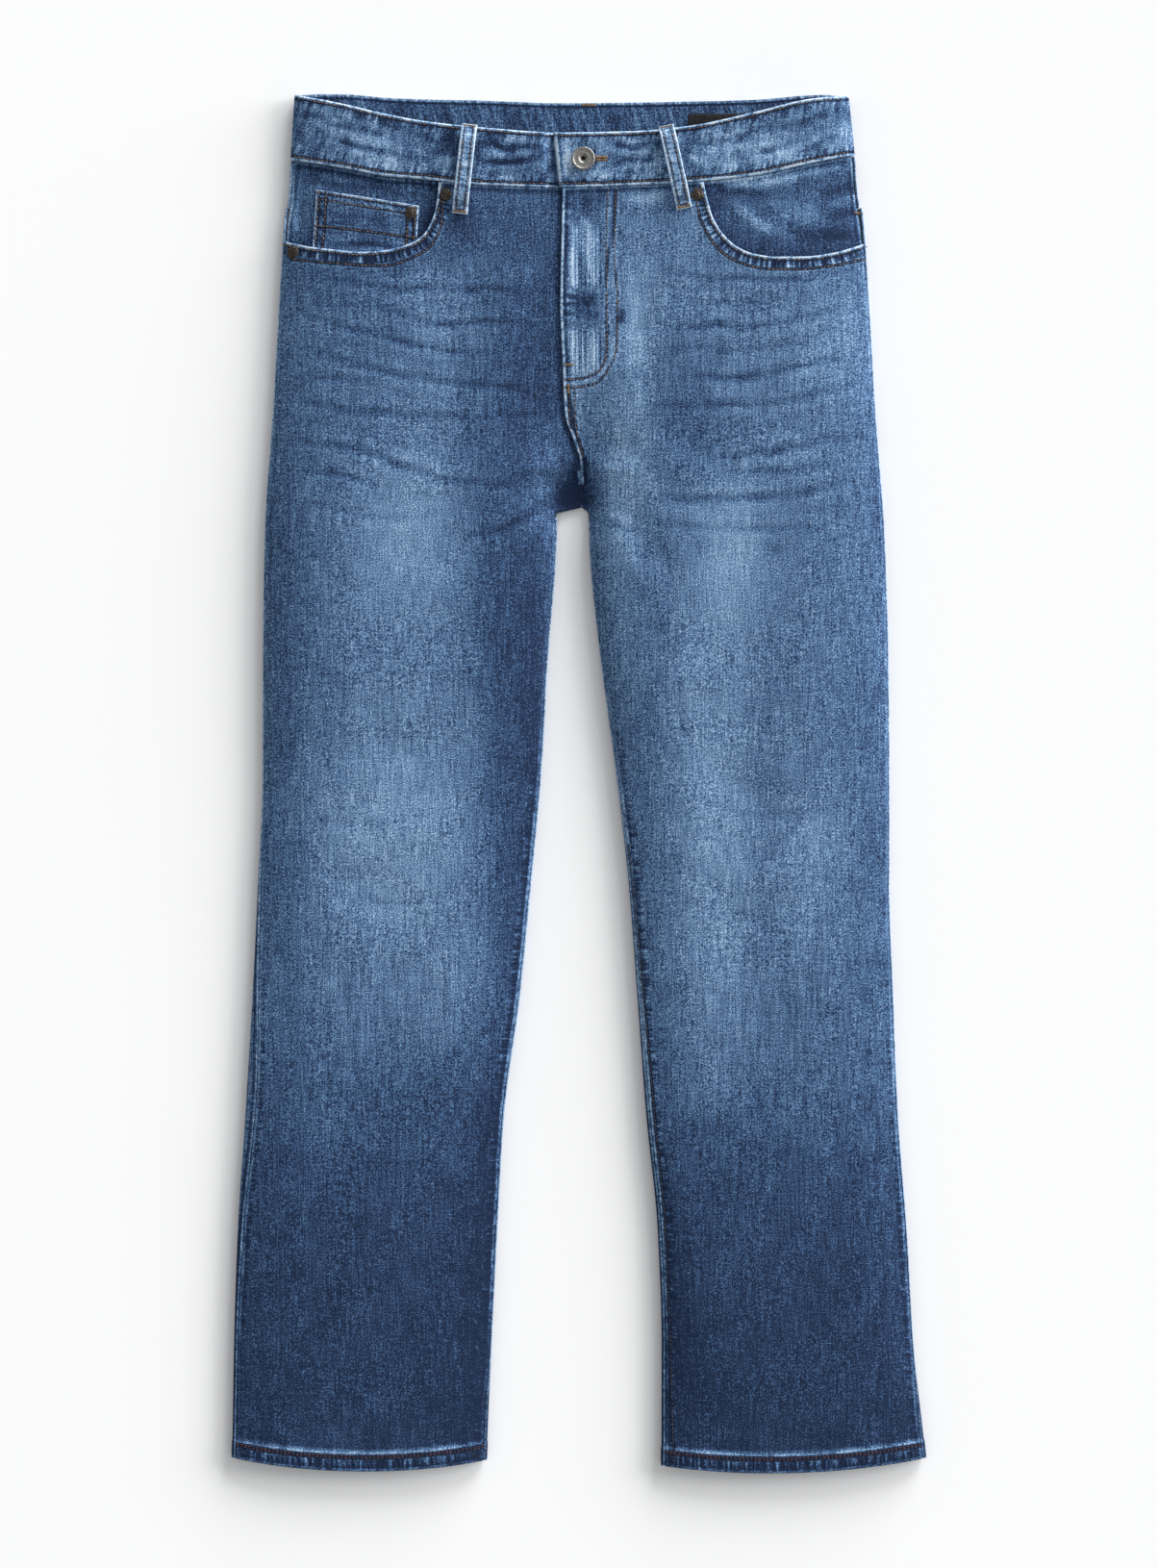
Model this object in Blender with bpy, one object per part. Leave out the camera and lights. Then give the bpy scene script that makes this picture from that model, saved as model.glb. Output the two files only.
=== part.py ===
"""Bootcut jeans lying flat on their back, fly up, waist towards +Y.

Millimetres are used throughout and turned to metres when a mesh is made.
"Right" and "left" are the wearer's, so the right leg lies at -X.
"""
import bmesh
import bpy
from math import cos, hypot, pi, radians, sin
from mathutils import Vector

MM = 0.001

# Driving sizes
CLOTH = 1.2            # one wall of denim
GAP = 0.3              # between neighbouring pieces
CREVICE = 0.4          # between stacked pieces, whose facets differ a little
HEM_DEPTH = 13.0
HEM_WALL = 2.6
HEM_STAND = 0.5        # a hem stands proud of its leg
BAND_WALL = 2.8
BAND_STAND = 0.8       # the waistband stands proud of the panels
FOLD_HEIGHT = 7.0      # height of the fold at the sides
FOLD_REACH = 5.0       # how far in from the side the fold meets the ground
SIDE_SHOULDER = 85.0   # width over which the cloth rises from the side fold
INNER_SHOULDER = 70.0  # and from the inseam fold, or the valley at the fly
FLY_LAP = 8.0          # left front over right front
FLY_DROP = 1.8
BAND_DROP = 3.3        # right end of the band under the left end
BAND_UNDERLAP_END = 28.0
BAND_LAP_START = -20.5
BACK_REST = 1.8        # the band and yokes rest on the back belt loops
POCKET_RAISE = 1.6     # the back panels rest on the patch pockets
LOOP_WIDTH = 12.5
LOOP_WALL = 1.6
BACK_LOOP_WALL = 1.4
BUTTON_RADIUS = 9.4
BUTTON_HEIGHT = 3.6
BUTTON_HOLE_RADIUS = 3.0
BUTTON_AT = (3.5, 498.9)
SHANK_RADIUS = 2.4
EYELET_RADIUS = 3.1
BUTTONHOLE_LENGTH = 18.0
BUTTONHOLE_WIDTH = 1.4
RIVET_RADIUS = 4.7
RIVET_HEIGHT = 1.3
CENTRE_X = -5.0

# Outline seen from above: level, side folds, crown of the cloth over the leg or hip
Y, SIDE_RIGHT, SIDE_LEFT, CROWN = range(4)
OUTLINE = (
    (-560.0, -279.0, 279.5, 12.5),
    (-540.0, -278.0, 277.9, 12.5),
    (-451.0, -276.4, 268.0, 13.5),
    (-359.0, -273.4, 262.6, 14.0),
    (-266.0, -267.2, 255.6, 14.5),
    (-174.0, -261.8, 251.8, 15.0),
    (-82.0, -257.2, 248.7, 16.0),
    (11.0, -253.3, 248.7, 17.5),
    (103.0, -253.2, 247.9, 19.5),
    (196.0, -251.8, 244.9, 20.0),
    (303.0, -244.9, 237.2, 19.0),
    (396.0, -239.5, 231.8, 18.0),
    (442.0, -235.9, 227.9, 16.5),
    (475.0, -232.0, 222.8, 15.0),
    (499.0, -231.0, 221.2, 15.0),
    (556.0, -227.5, 215.4, 15.0),
)

# The gap between the legs, closing to a valley along the fly that fills out upwards
GAP_RIGHT, GAP_LEFT, FLOOR = range(1, 4)
VALLEY = (
    (-560.0, -75.0, 66.0, 7.0),
    (-451.0, -70.1, 66.2, 7.0),
    (-359.0, -65.5, 63.1, 7.0),
    (-266.0, -60.1, 53.9, 7.0),
    (-174.0, -47.7, 47.0, 7.0),
    (-82.0, -38.5, 40.0, 7.0),
    (11.0, -30.0, 29.3, 7.0),
    (103.0, -24.6, 16.9, 7.0),
    (185.0, -18.2, 8.6, 7.0),
    (205.0, -17.6, 7.8, 5.2),
    (218.0, -18.0, 7.2, 3.0),
    (238.0, -18.6, 6.2, 3.4),
    (245.0, -15.5, 5.4, 4.8),
    (253.0, -6.0, 3.2, 6.6),
    (264.0, -1.0, 0.4, 9.5),
    (300.0, -12.0, -12.0, 13.5),
    (345.0, -13.6, -13.6, 17.0),
    (390.0, -15.0, -15.0, 19.0),
    (560.0, -13.0, -13.0, 19.0),
)
FORK_LEVEL = 221.0     # the saddle between the legs starts here
FORK_OPEN_LEVEL = 218.0
FORK_CLOSED_LEVEL = 212.0

# Edge of the overlapping left front: level, x
FLY_EDGE = (
    (221.0, 2.3),
    (257.0, 0.8),
    (273.0, -3.9),
    (296.0, -11.5),
    (335.0, -13.2),
    (386.0, -15.2),
    (424.0, -13.9),
    (485.0, -13.2),
)

# How far in from the fold the seams lie: level, outseams, inseams
OUT_RIGHT, IN_RIGHT, IN_LEFT, OUT_LEFT = range(1, 5)
SEAM_INSET = (
    (-560.0, 3.2, 3.2, 3.2, 3.2),
    (-520.0, 3.2, 3.2, 3.2, 3.2),
    (-450.0, 3.2, 1.5, 3.0, 1.2),
    (-350.0, 5.0, 1.5, 3.0, 1.2),
    (-253.0, 8.0, 1.5, 3.0, 1.2),
    (-143.0, 4.0, 1.5, 2.5, 1.2),
    (-30.0, 1.5, 1.2, 1.8, 1.2),
    (60.0, 1.2, 1.2, 1.2, 1.2),
    (520.0, 1.2, 1.2, 1.2, 1.2),
)

# Round the waist: x, bottom seam of the band, its top in front and behind
SEAM, FRONT_TOP, BACK_TOP = range(1, 4)
WAIST = (
    (-228.0, 498.6, 551.2, 552.2),
    (-190.0, 492.0, 543.3, 552.0),
    (-154.0, 485.2, 534.7, 549.1),
    (-122.0, 482.4, 528.9, 547.9),
    (-78.0, 477.9, 524.1, 547.0),
    (-15.0, 476.0, 520.0, 544.9),
    (46.0, 477.9, 521.2, 545.4),
    (89.0, 480.2, 525.4, 546.2),
    (141.0, 485.8, 536.5, 547.6),
    (187.0, 496.0, 547.5, 551.2),
    (216.0, 502.0, 550.2, 552.2),
)

# Mouth of each front pocket, from the side seam in and up to the band: x, y
POCKET_MOUTH = {
    "right": (
        (-236.0, 433.5),
        (-214.0, 428.5),
        (-196.0, 426.3),
        (-174.0, 424.3),
        (-156.0, 425.4),
        (-138.6, 429.7),
        (-125.5, 436.9),
        (-118.3, 448.1),
        (-114.7, 458.9),
        (-112.0, 480.6),
    ),
    "left": (
        (229.5, 432.0),
        (203.3, 423.8),
        (181.0, 420.7),
        (158.0, 420.4),
        (140.1, 422.7),
        (126.3, 428.4),
        (115.2, 438.5),
        (107.0, 452.0),
        (102.8, 465.9),
        (99.5, 480.5),
    ),
}
FLY_COLUMNS = {"right": (-80.0, -48.0), "left": (66.0, 30.0)}

# Lowest edge of each leg: y at the side fold, y at the inseam fold, sag between them
HEM_EDGE = {"right": (-540.4, -542.2, 9.4), "left": (-540.5, -546.7, 8.3)}
BACK_HEM_SAG = 2.0

# Largest folds: from x, y to x, y, half width, height (troughs are negative)
FOLDS = (
    (-30.0, 470.0, -34.0, 280.0, 24.0, -1.6),
    (-52.0, 440.0, -60.0, 300.0, 26.0, 0.9),
    (44.0, 440.0, 52.0, 270.0, 26.0, -0.9),
    (-34.0, 236.0, -110.0, 150.0, 24.0, -1.5),
    (22.0, 250.0, 78.0, 150.0, 22.0, -1.5),
    (50.0, 270.0, 128.0, 226.0, 22.0, 1.0),
    (-60.0, 262.0, -160.0, 232.0, 24.0, 0.9),
    (-100.0, -20.0, -190.0, -60.0, 30.0, 1.3),
    (-205.0, -70.0, -120.0, -110.0, 30.0, -1.2),
    (85.0, 20.0, 175.0, -30.0, 30.0, -1.2),
    (210.0, -60.0, 120.0, -96.0, 30.0, 1.2),
    (-130.0, -260.0, -210.0, -480.0, 34.0, 1.0),
    (120.0, -480.0, 190.0, -260.0, 34.0, 1.0),
    (95.0, -250.0, 110.0, -430.0, 30.0, -1.0),
)
FOLD_MARGIN = 34.0     # folds die out this far from a side

# Straight rows of the panels, hem to hip
LEG_ROWS = tuple(-498.0 + 44.0 * step for step in range(16))
FORK_ROWS = (192.0, FORK_CLOSED_LEVEL, FORK_OPEN_LEVEL, FORK_LEVEL, 229.0, 237.0,
             244.0, 250.0, 256.0, 264.0, 276.0, 292.0, 325.0, 360.0, 395.0)
HIP_ROW = 395.0
TOP_SHARES = (0.35, 0.7, 1.0)

# Back yoke seam and patch pockets
YOKE_SIDE = 461.0
YOKE_CENTRE = 427.0
BACK_SEAM = ((221.0, 2.3), (300.0, 0.0), (430.0, -4.0), (510.0, -5.0))
POCKET_COLUMNS = (-204.0, -178.0, -148.0, -118.0, -88.0, -60.0, -34.0)
POCKET_BAND = (236.0, 428.0)
PATCH_CENTRE = 118.0
PATCH_POINTS = ((-78.0, 404.0), (-72.0, 270.0), (0.0, 250.0), (72.0, 270.0), (78.0, 404.0))
MIRROR_X = -8.0        # left side x of the back = MIRROR_X - right side x

# Front belt loops: x at the bottom and top, y at the bottom and top
FRONT_LOOPS = {"right": (-95.5, -87.5, 454.7, 525.6), "left": (84.2, 69.5, 458.9, 524.6)}
# Lift of a loop over the cloth: distance from its lower end (negative: from its top), lift
LOOP_LIFT = ((0.0, 0.5), (5.0, 0.5), (9.0, 2.6), (14.0, 5.2), (22.0, 6.0),
             (-14.0, 6.0), (-7.0, 5.0), (-2.5, 3.0), (0.0, 1.5))
BACK_LOOPS = {"right": -150.0, "center": CENTRE_X, "left": 140.0}
BACK_LOOP_Y = (478.0, 544.0)

# Facings and coin pocket
FACING_LOW = 404.0
FACING_END = {"right": -98.0, "left": 88.0}
FACING_REST = CLOTH + CREVICE
COIN_CORNERS = ((-215.0, 404.0), (-210.5, 475.0), (-128.0, 461.6), (-131.5, 404.0))
COIN_DEPTH = CLOTH + CREVICE
UNDER_COIN = COIN_DEPTH + CLOTH + CREVICE

ZIP_LEVELS = (338.0, 470.0)
ZIP_REACH = (-9.0, 17.0)
ZIP_DEPTH = 2.0 * CLOTH + FLY_DROP + 1.0
ZIP_WALL = 1.4

LABEL_BOX = (87.8, 144.8, 502.0, 536.4)
LABEL_WALL = 0.8

RIVETS = {
    "rivet_coin_pocket": (-134.5, 455.6),
    "rivet_pocket_right_outer": (-229.0, 424.4),
    "rivet_pocket_right_inner": (-106.6, 470.0),
    "rivet_pocket_left_inner": (94.4, 470.2),
}


# Small mathematics

def clamp(value, low=0.0, high=1.0):
    return max(low, min(high, value))


def ease(value, start, end):
    """Smooth step from 0 at start to 1 at end."""
    share = clamp((value - start) / (end - start))
    return share * share * (3.0 - 2.0 * share)


def mix(first, second, share):
    return first + (second - first) * share


def curve(rows, at, column):
    """Smooth value of one column of a table at a place in its first column."""
    rows = rows if rows[0][0] < rows[-1][0] else rows[::-1]
    if at <= rows[0][0]:
        return rows[0][column]
    if at >= rows[-1][0]:
        return rows[-1][column]
    index = max(k for k in range(len(rows) - 1) if rows[k][0] <= at)

    def pitch(k):
        return (rows[k + 1][column] - rows[k][column]) / (rows[k + 1][0] - rows[k][0])

    def slope(k):
        if k in (0, len(rows) - 1):
            return 0.0 if len(rows) < 3 else pitch(min(k, len(rows) - 2))
        before, after = pitch(k - 1), pitch(k)
        return 0.0 if before * after <= 0.0 else 2.0 * before * after / (before + after)

    span = rows[index + 1][0] - rows[index][0]
    t = (at - rows[index][0]) / span
    start, end = rows[index][column], rows[index + 1][column]
    return (start * (1.0 + 2.0 * t) * (1.0 - t) ** 2 + end * t * t * (3.0 - 2.0 * t)
            + slope(index) * span * t * (1.0 - t) ** 2 - slope(index + 1) * span * t * t * (1.0 - t))


def along(points, at):
    """Straight-line value at a place in a list of pairs."""
    for (x0, v0), (x1, v1) in zip(points, points[1:]):
        if at <= x1:
            return mix(v0, v1, clamp((at - x0) / (x1 - x0)))
    return points[-1][1]


# The outer face of the garment's top

def swell(share):
    """Rise of the cloth from a fold (0) to its shoulder (1), upright at the fold."""
    return (1.0 - (1.0 - clamp(share)) ** 2.4) ** 0.62


def side(y, wearer):
    return curve(OUTLINE, y, SIDE_RIGHT if wearer == "right" else SIDE_LEFT)


def inseam(y, wearer):
    return curve(VALLEY, y, GAP_RIGHT if wearer == "right" else GAP_LEFT)


def fold_relief(x, y):
    """Height that the largest folds add."""
    total = 0.0
    for x0, y0, x1, y1, half_width, height in FOLDS:
        length = hypot(x1 - x0, y1 - y0)
        ahead = ((x - x0) * (x1 - x0) + (y - y0) * (y1 - y0)) / length
        aside = abs((x - x0) * (y1 - y0) - (y - y0) * (x1 - x0)) / length
        share = ahead / length
        if 0.0 < share < 1.0 and aside < half_width:
            total += height * sin(pi * share) * cos(0.5 * pi * aside / half_width) ** 2
    return total


def top_height(x, y):
    """Height of the outer face over the ground."""
    crown = curve(OUTLINE, y, CROWN)
    floor = min(crown, curve(VALLEY, y, FLOOR))
    from_side = min(x - side(y, "right"), side(y, "left") - x)
    from_gap = max(inseam(y, "right") - x, x - inseam(y, "left"), 0.0)
    height = crown - (crown - FOLD_HEIGHT) * (1.0 - swell(from_side / SIDE_SHOULDER))
    share = from_gap / INNER_SHOULDER
    rise = mix(swell(share), ease(share, 0.0, 1.0), ease(y, 248.0, 272.0))
    height -= (crown - floor) * (1.0 - rise)
    reach = clamp(from_side / FOLD_MARGIN)
    if y < 300.0:
        reach *= clamp(from_gap / FOLD_MARGIN)
    return height + fold_relief(x, y) * reach


def top_normal(x, y):
    step = 0.5
    slope_x = (top_height(x + step, y) - top_height(x - step, y)) / (2.0 * step)
    slope_y = (top_height(x, y + step) - top_height(x, y - step)) / (2.0 * step)
    return Vector((-slope_x, -slope_y, 1.0)).normalized()


def fly_edge(y):
    return curve(FLY_EDGE, y, 1)


def fly_lap(y):
    return FLY_LAP * ease(y, 293.0, 324.0)


def front_drop(x, y, wearer):
    """The right front steps down under the left front along the fly."""
    if wearer == "left" or y < FORK_LEVEL:
        return 0.0
    return FLY_DROP * ease(y, 249.0, 262.0) * ease(x, fly_edge(y) - 8.5, fly_edge(y) - 1.5)


def laid(x, y, lift, wearer="left"):
    """A point moved out by lift from the top's outer face."""
    base = Vector((x, y, top_height(x, y) - front_drop(x, y, wearer)))
    return base + top_normal(x, y) * lift


# Meshes and materials

def material(name, colour, roughness, metallic=0.0):
    shader = bpy.data.materials.new(name)
    shader.use_nodes = True
    principled = shader.node_tree.nodes["Principled BSDF"]
    principled.inputs["Base Color"].default_value = (*colour, 1.0)
    principled.inputs["Roughness"].default_value = roughness
    principled.inputs["Metallic"].default_value = metallic
    return shader


def finish(name, bm, shader, sharp_angle=35.0):
    """Make an object of a closed mesh, with its faces pointing out."""
    bmesh.ops.recalc_face_normals(bm, faces=bm.faces)
    mesh = bpy.data.meshes.new(name)
    bm.to_mesh(mesh)
    bm.free()
    mesh.materials.append(shader)
    mesh.shade_smooth()
    mesh.set_sharp_from_angle(angle=radians(sharp_angle))
    piece = bpy.data.objects.new(name, mesh)
    bpy.context.collection.objects.link(piece)
    return piece


def wall(name, outer, inner, shader):
    """Close the wall between two grids of points with the same rows and columns."""
    bm = bmesh.new()
    faces_of_wall = [[[bm.verts.new(Vector(point) * MM) for point in row] for row in grid]
                     for grid in (outer, inner)]
    rows, columns = len(outer), len(outer[0])
    for grid in faces_of_wall:
        for i in range(rows - 1):
            for j in range(columns - 1):
                bm.faces.new((grid[i][j], grid[i][j + 1], grid[i + 1][j + 1], grid[i + 1][j]))
    rim = ([(i, 0) for i in range(rows)]
           + [(rows - 1, j) for j in range(1, columns)]
           + [(i, columns - 1) for i in range(rows - 2, -1, -1)]
           + [(0, j) for j in range(columns - 2, 0, -1)])
    above, below = faces_of_wall
    for (a, b), (c, d) in zip(rim, rim[1:] + rim[:1]):
        bm.faces.new((above[a][b], above[c][d], below[c][d], below[a][b]))
    return finish(name, bm, shader)


def laid_wall(name, grid, lifts, thickness, shader, wearer="left"):
    """A wall whose outer face is laid on the top at the lift given for each point."""
    outer = [[laid(x, y, lift, wearer) for (x, y), lift in zip(row, lift_row)]
             for row, lift_row in zip(grid, lifts)]
    inner = [[laid(x, y, lift - thickness, wearer) for (x, y), lift in zip(row, lift_row)]
             for row, lift_row in zip(grid, lifts)]
    return wall(name, outer, inner, shader)


def slab(name, outline, low, high, shader):
    """A flat plate with the given outline."""
    bm = bmesh.new()
    base = bm.faces.new([bm.verts.new(Vector((x, y, low)) * MM) for x, y in outline])
    raised = bmesh.ops.extrude_face_region(bm, geom=[base])["geom"]
    lifted = [item for item in raised if isinstance(item, bmesh.types.BMVert)]
    bmesh.ops.translate(bm, verts=lifted, vec=(0.0, 0.0, (high - low) * MM))
    return finish(name, bm, shader)


def turned(name, profile, steps, shader, at, normal):
    """Turn a profile of (radius, height), closed on its axis at both ends, about a normal."""
    turn = Vector((0.0, 0.0, 1.0)).rotation_difference(normal).to_matrix()
    bm = bmesh.new()
    rings = []
    for radius, height in profile:
        count = steps if radius > 0.0 else 1
        ring = []
        for k in range(count):
            angle = 2.0 * pi * k / steps
            spoke = turn @ Vector((radius * cos(angle), radius * sin(angle), height))
            ring.append(bm.verts.new((at + spoke) * MM))
        rings.append(ring)
    for first, second in zip(rings, rings[1:]):
        for k in range(steps):
            corners = [first[k % len(first)], first[(k + 1) % len(first)],
                       second[(k + 1) % len(second)], second[k % len(second)]]
            bm.faces.new(list(dict.fromkeys(corners)))
    return finish(name, bm, shader, 30.0)


# Front panels

def seam_inset(y, wearer, edge):
    columns = {("right", "out"): OUT_RIGHT, ("right", "in"): IN_RIGHT,
               ("left", "in"): IN_LEFT, ("left", "out"): OUT_LEFT}
    return curve(SEAM_INSET, y, columns[(wearer, edge)])


def pocket_mouth(x, wearer):
    """Top edge of a front panel: the pocket mouth, then the seam of the band."""
    mouth = POCKET_MOUTH[wearer]
    if abs(x) >= abs(mouth[-1][0]):
        return min(curve(mouth, x, 1), curve(WAIST, x, SEAM) - GAP)
    return curve(WAIST, x, SEAM) - GAP


def front_columns(y, wearer):
    """Where the columns of a front panel cross a level, from the outseam to the inner edge.

    The inner edge is the inseam below the fork, and the fly above it.
    """
    inward = 1.0 if wearer == "right" else -1.0
    outer = side(y, wearer) + inward * seam_inset(y, wearer, "out")
    start = outer + inward * 9.0
    if y < FORK_LEVEL:
        inner = inseam(y, wearer) - inward * seam_inset(y, wearer, "in")
        stop = inner - inward * 9.0
        last = inner - inward * 1.5
    else:
        lap = fly_lap(y) if wearer == "right" else 0.0
        inner = fly_edge(y) + inward * (lap - 0.5 * GAP)
        above_fork = ease(y, 240.0, 262.0)
        stop = mix(inseam(y, wearer) - inward * 10.5, inner - inward * (lap + 9.0), above_fork)
        last = mix(inseam(y, wearer) + inward * 0.8, inner - inward * (lap + 1.5), above_fork)
    even = [mix(start, stop, 0.5 - 0.5 * cos(pi * k / 12.0)) for k in range(1, 12)]
    by_pocket = [x for x, _ in POCKET_MOUTH[wearer][1:]] + list(FLY_COLUMNS[wearer])
    share = ease(y, 320.0, 420.0)
    middle = [mix(a, b, share) for a, b in zip(even, by_pocket)]
    return [outer, outer + inward * 2.5, start] + middle + [stop, last, inner]


def hem_line(x, wearer, sag_share=1.0):
    outer_y, inner_y, sag = HEM_EDGE[wearer]
    low = OUTLINE[1][Y]
    share = clamp((x - side(low, wearer)) / (inseam(low, wearer) - side(low, wearer)))
    return mix(outer_y, inner_y, share) - 4.0 * sag * sag_share * share * (1.0 - share)


def front_panel(wearer, shader):
    grid = []
    walls = []
    for rise, thickness in ((0.0, HEM_WALL), (HEM_DEPTH, HEM_WALL), (HEM_DEPTH + 3.0, CLOTH)):
        columns = front_columns(OUTLINE[1][Y] + rise, wearer)
        grid.append([(x, hem_line(x, wearer) + rise) for x in columns])
        walls.append(thickness)
    for y in LEG_ROWS + FORK_ROWS:
        grid.append([(x, y) for x in front_columns(y, wearer)])
        walls.append(CLOTH)
    hip = front_columns(HIP_ROW, wearer)
    top = front_columns(470.0, wearer)
    side_y = POCKET_MOUTH[wearer][0][1]
    for k, x in enumerate(front_columns(side_y, wearer)[:3]):
        top[k] = x
    for share in TOP_SHARES:
        grid.append([(mix(a, b, share), mix(HIP_ROW, pocket_mouth(b, wearer), share))
                     for a, b in zip(hip, top)])
        walls.append(CLOTH)
    outer = []
    inner = []
    for row, thickness in zip(grid, walls):
        stand = HEM_STAND if thickness == HEM_WALL else 0.0
        outer.append([laid(x, y, stand, wearer) for x, y in row])
        inner.append([laid(x, y, stand - thickness, wearer) for x, y in row])
    return wall("front_panel_" + wearer, outer, inner, shader)


# Back panels and yokes

def fold_skin(y, wearer, edge, fold_height, ground):
    """Outer points and normals from a seam on the top, over a fold, down to the ground."""
    outseam = edge == "out"
    edge_x = side(y, wearer) if outseam else inseam(y, wearer)
    inward = (1.0 if wearer == "right" else -1.0) * (1.0 if outseam else -1.0)
    inset = seam_inset(y, wearer, edge) - 0.5
    skin = []
    for share in (1.0, 0.5):
        x = edge_x + inward * inset * share
        normal = top_normal(x, y)
        skin.append((Vector((x, y, top_height(x, y))), Vector((normal.x, 0.0, normal.z)).normalized()))
    height = fold_height - ground
    for degrees in (0.0, 35.0, 65.0, 90.0):
        angle = radians(degrees)
        point = Vector((edge_x + inward * FOLD_REACH * (1.0 - cos(angle)), y,
                        ground + height * (1.0 - sin(angle))))
        normal = Vector((-inward * cos(angle) / FOLD_REACH, 0.0, -sin(angle) / height))
        skin.append((point, normal.normalized()))
    return skin


def back_seam(y, wearer):
    inward = 1.0 if wearer == "right" else -1.0
    return curve(BACK_SEAM, y, 1) - inward * 0.5 * GAP


def back_middle(y, wearer, start, stop):
    """Columns of a back panel between its folds."""
    even = [mix(start, stop, (k + 1.0) / 8.0) for k in range(7)]
    by_pocket = [x if wearer == "right" else MIRROR_X - x for x in POCKET_COLUMNS]
    share = ease(y, 150.0, 229.0)
    return [mix(a, b, share) for a, b in zip(even, by_pocket)]


def back_row(y, wearer, ground, middle_lift):
    """One level of a back piece, as outer points with their normals."""
    outer_fold = fold_skin(y, wearer, "out", FOLD_HEIGHT, ground)
    down = Vector((0.0, 0.0, -1.0))
    inward = 1.0 if wearer == "right" else -1.0
    if y < FORK_OPEN_LEVEL:
        inner_fold = fold_skin(y, wearer, "in", curve(VALLEY, y, FLOOR), ground)[::-1]
    else:
        stop = inseam(y, wearer) if y < FORK_LEVEL else back_seam(y, wearer)
        start = inseam(FORK_LEVEL, wearer) - inward * FOLD_REACH
        inner_fold = [(Vector((mix(start, stop, k / 5.0), y, ground)), down) for k in range(6)]
    middle = back_middle(y, wearer, outer_fold[-1][0].x, inner_fold[0][0].x)
    return (outer_fold + [(Vector((x, y, ground + middle_lift)), down) for x in middle] + inner_fold)


def back_wall(name, rows, walls, stands, shader):
    outer = []
    inner = []
    for row, thickness, stand in zip(rows, walls, stands):
        moved = [(point + normal * stand, normal) for point, normal in row]
        outer.append([Vector((p.x, p.y, max(p.z, 0.0))) for p, _ in moved])
        inner.append([Vector((p.x, p.y, max(p.z, 0.0))) - normal * thickness for p, normal in moved])
    return wall(name, outer, inner, shader)


def yoke_line(x, wearer):
    share = clamp((x - side(450.0, wearer)) / (CENTRE_X - side(450.0, wearer)))
    return mix(YOKE_SIDE, YOKE_CENTRE, share)


def shifted(row, level_of):
    """The row with each point's level worked out from its x."""
    return [(Vector((point.x, level_of(point.x), point.z)), normal) for point, normal in row]


def back_panel(wearer, shader):
    rows = []
    walls = []
    stands = []
    for rise, thickness in ((0.0, HEM_WALL), (HEM_DEPTH, HEM_WALL), (HEM_DEPTH + 3.0, CLOTH)):
        row = back_row(OUTLINE[1][Y] + rise, wearer, 0.0, 0.0)
        rows.append(shifted(row, lambda x, up=rise: hem_line(x, wearer, BACK_HEM_SAG / 9.0) + up))
        walls.append(thickness)
        stands.append(HEM_STAND if thickness == HEM_WALL else 0.0)
    for y in LEG_ROWS + FORK_ROWS:
        raised = POCKET_RAISE if POCKET_BAND[0] <= y <= POCKET_BAND[1] else 0.0
        rows.append(back_row(y, wearer, 0.0, raised))
    for share in (0.5, 1.0):
        level = mix(HIP_ROW, 450.0, share)
        row = back_row(level, wearer, 0.0, POCKET_RAISE if share < 1.0 else 0.0)
        rows.append(shifted(row, lambda x, up=share: mix(HIP_ROW, yoke_line(x, wearer) - GAP, up)))
    walls += [CLOTH] * (len(rows) - len(walls))
    stands += [0.0] * (len(rows) - len(stands))
    return back_wall("back_panel_" + wearer, rows, walls, stands, shader)


def band_line(x, wearer):
    """Bottom seam of the band behind, level between the side seams."""
    seam_right, seam_left = WAIST[0][SEAM], WAIST[-1][SEAM]
    return mix(seam_right, seam_left, clamp((x - WAIST[0][0]) / (WAIST[-1][0] - WAIST[0][0])))


def back_yoke(wearer, shader):
    rows = []
    for share, ground in ((0.0, 0.0), (0.3, BACK_REST), (0.65, BACK_REST), (1.0, BACK_REST)):
        row = back_row(mix(460.0, 500.0, share), wearer, ground, 0.0)

        def level(x, up=share):
            return mix(yoke_line(x, wearer), band_line(x, wearer) - GAP, up)
        rows.append(shifted(row, level))
    count = len(rows)
    return back_wall("back_yoke_" + wearer, rows, [CLOTH] * count, [0.0] * count, shader)


def back_pocket(wearer, shader):
    centre = -PATCH_CENTRE if wearer == "right" else MIRROR_X + PATCH_CENTRE
    outline = [(centre + x, y) for x, y in PATCH_POINTS]
    return slab("back_pocket_" + wearer, outline, 0.0, CLOTH, shader)


# Front pocket pieces

def pocket_facing(wearer, shader):
    inward = 1.0 if wearer == "right" else -1.0
    grid = []
    lifts = []
    for k in range(7):
        share = k / 6.0
        level = mix(FACING_LOW, curve(WAIST, side(490.0, wearer), SEAM) - GAP, share)
        start = side(level, wearer) + inward * seam_inset(level, wearer, "out")
        columns = [start, start + inward * 2.5, start + inward * 9.0]
        columns += [mix(start + inward * 9.0, FACING_END[wearer], n / 8.0) for n in range(1, 9)]
        grid.append([(x, mix(FACING_LOW, curve(WAIST, x, SEAM) - GAP, share)) for x in columns])
        under = UNDER_COIN if wearer == "right" else FACING_REST
        depth = [mix(FACING_REST, under, ease(abs(x - start), 2.0, 9.0)) for x in columns]
        lifts.append([-value for value in depth])
    return laid_wall("pocket_facing_" + wearer, grid, lifts, CLOTH, shader)


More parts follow.
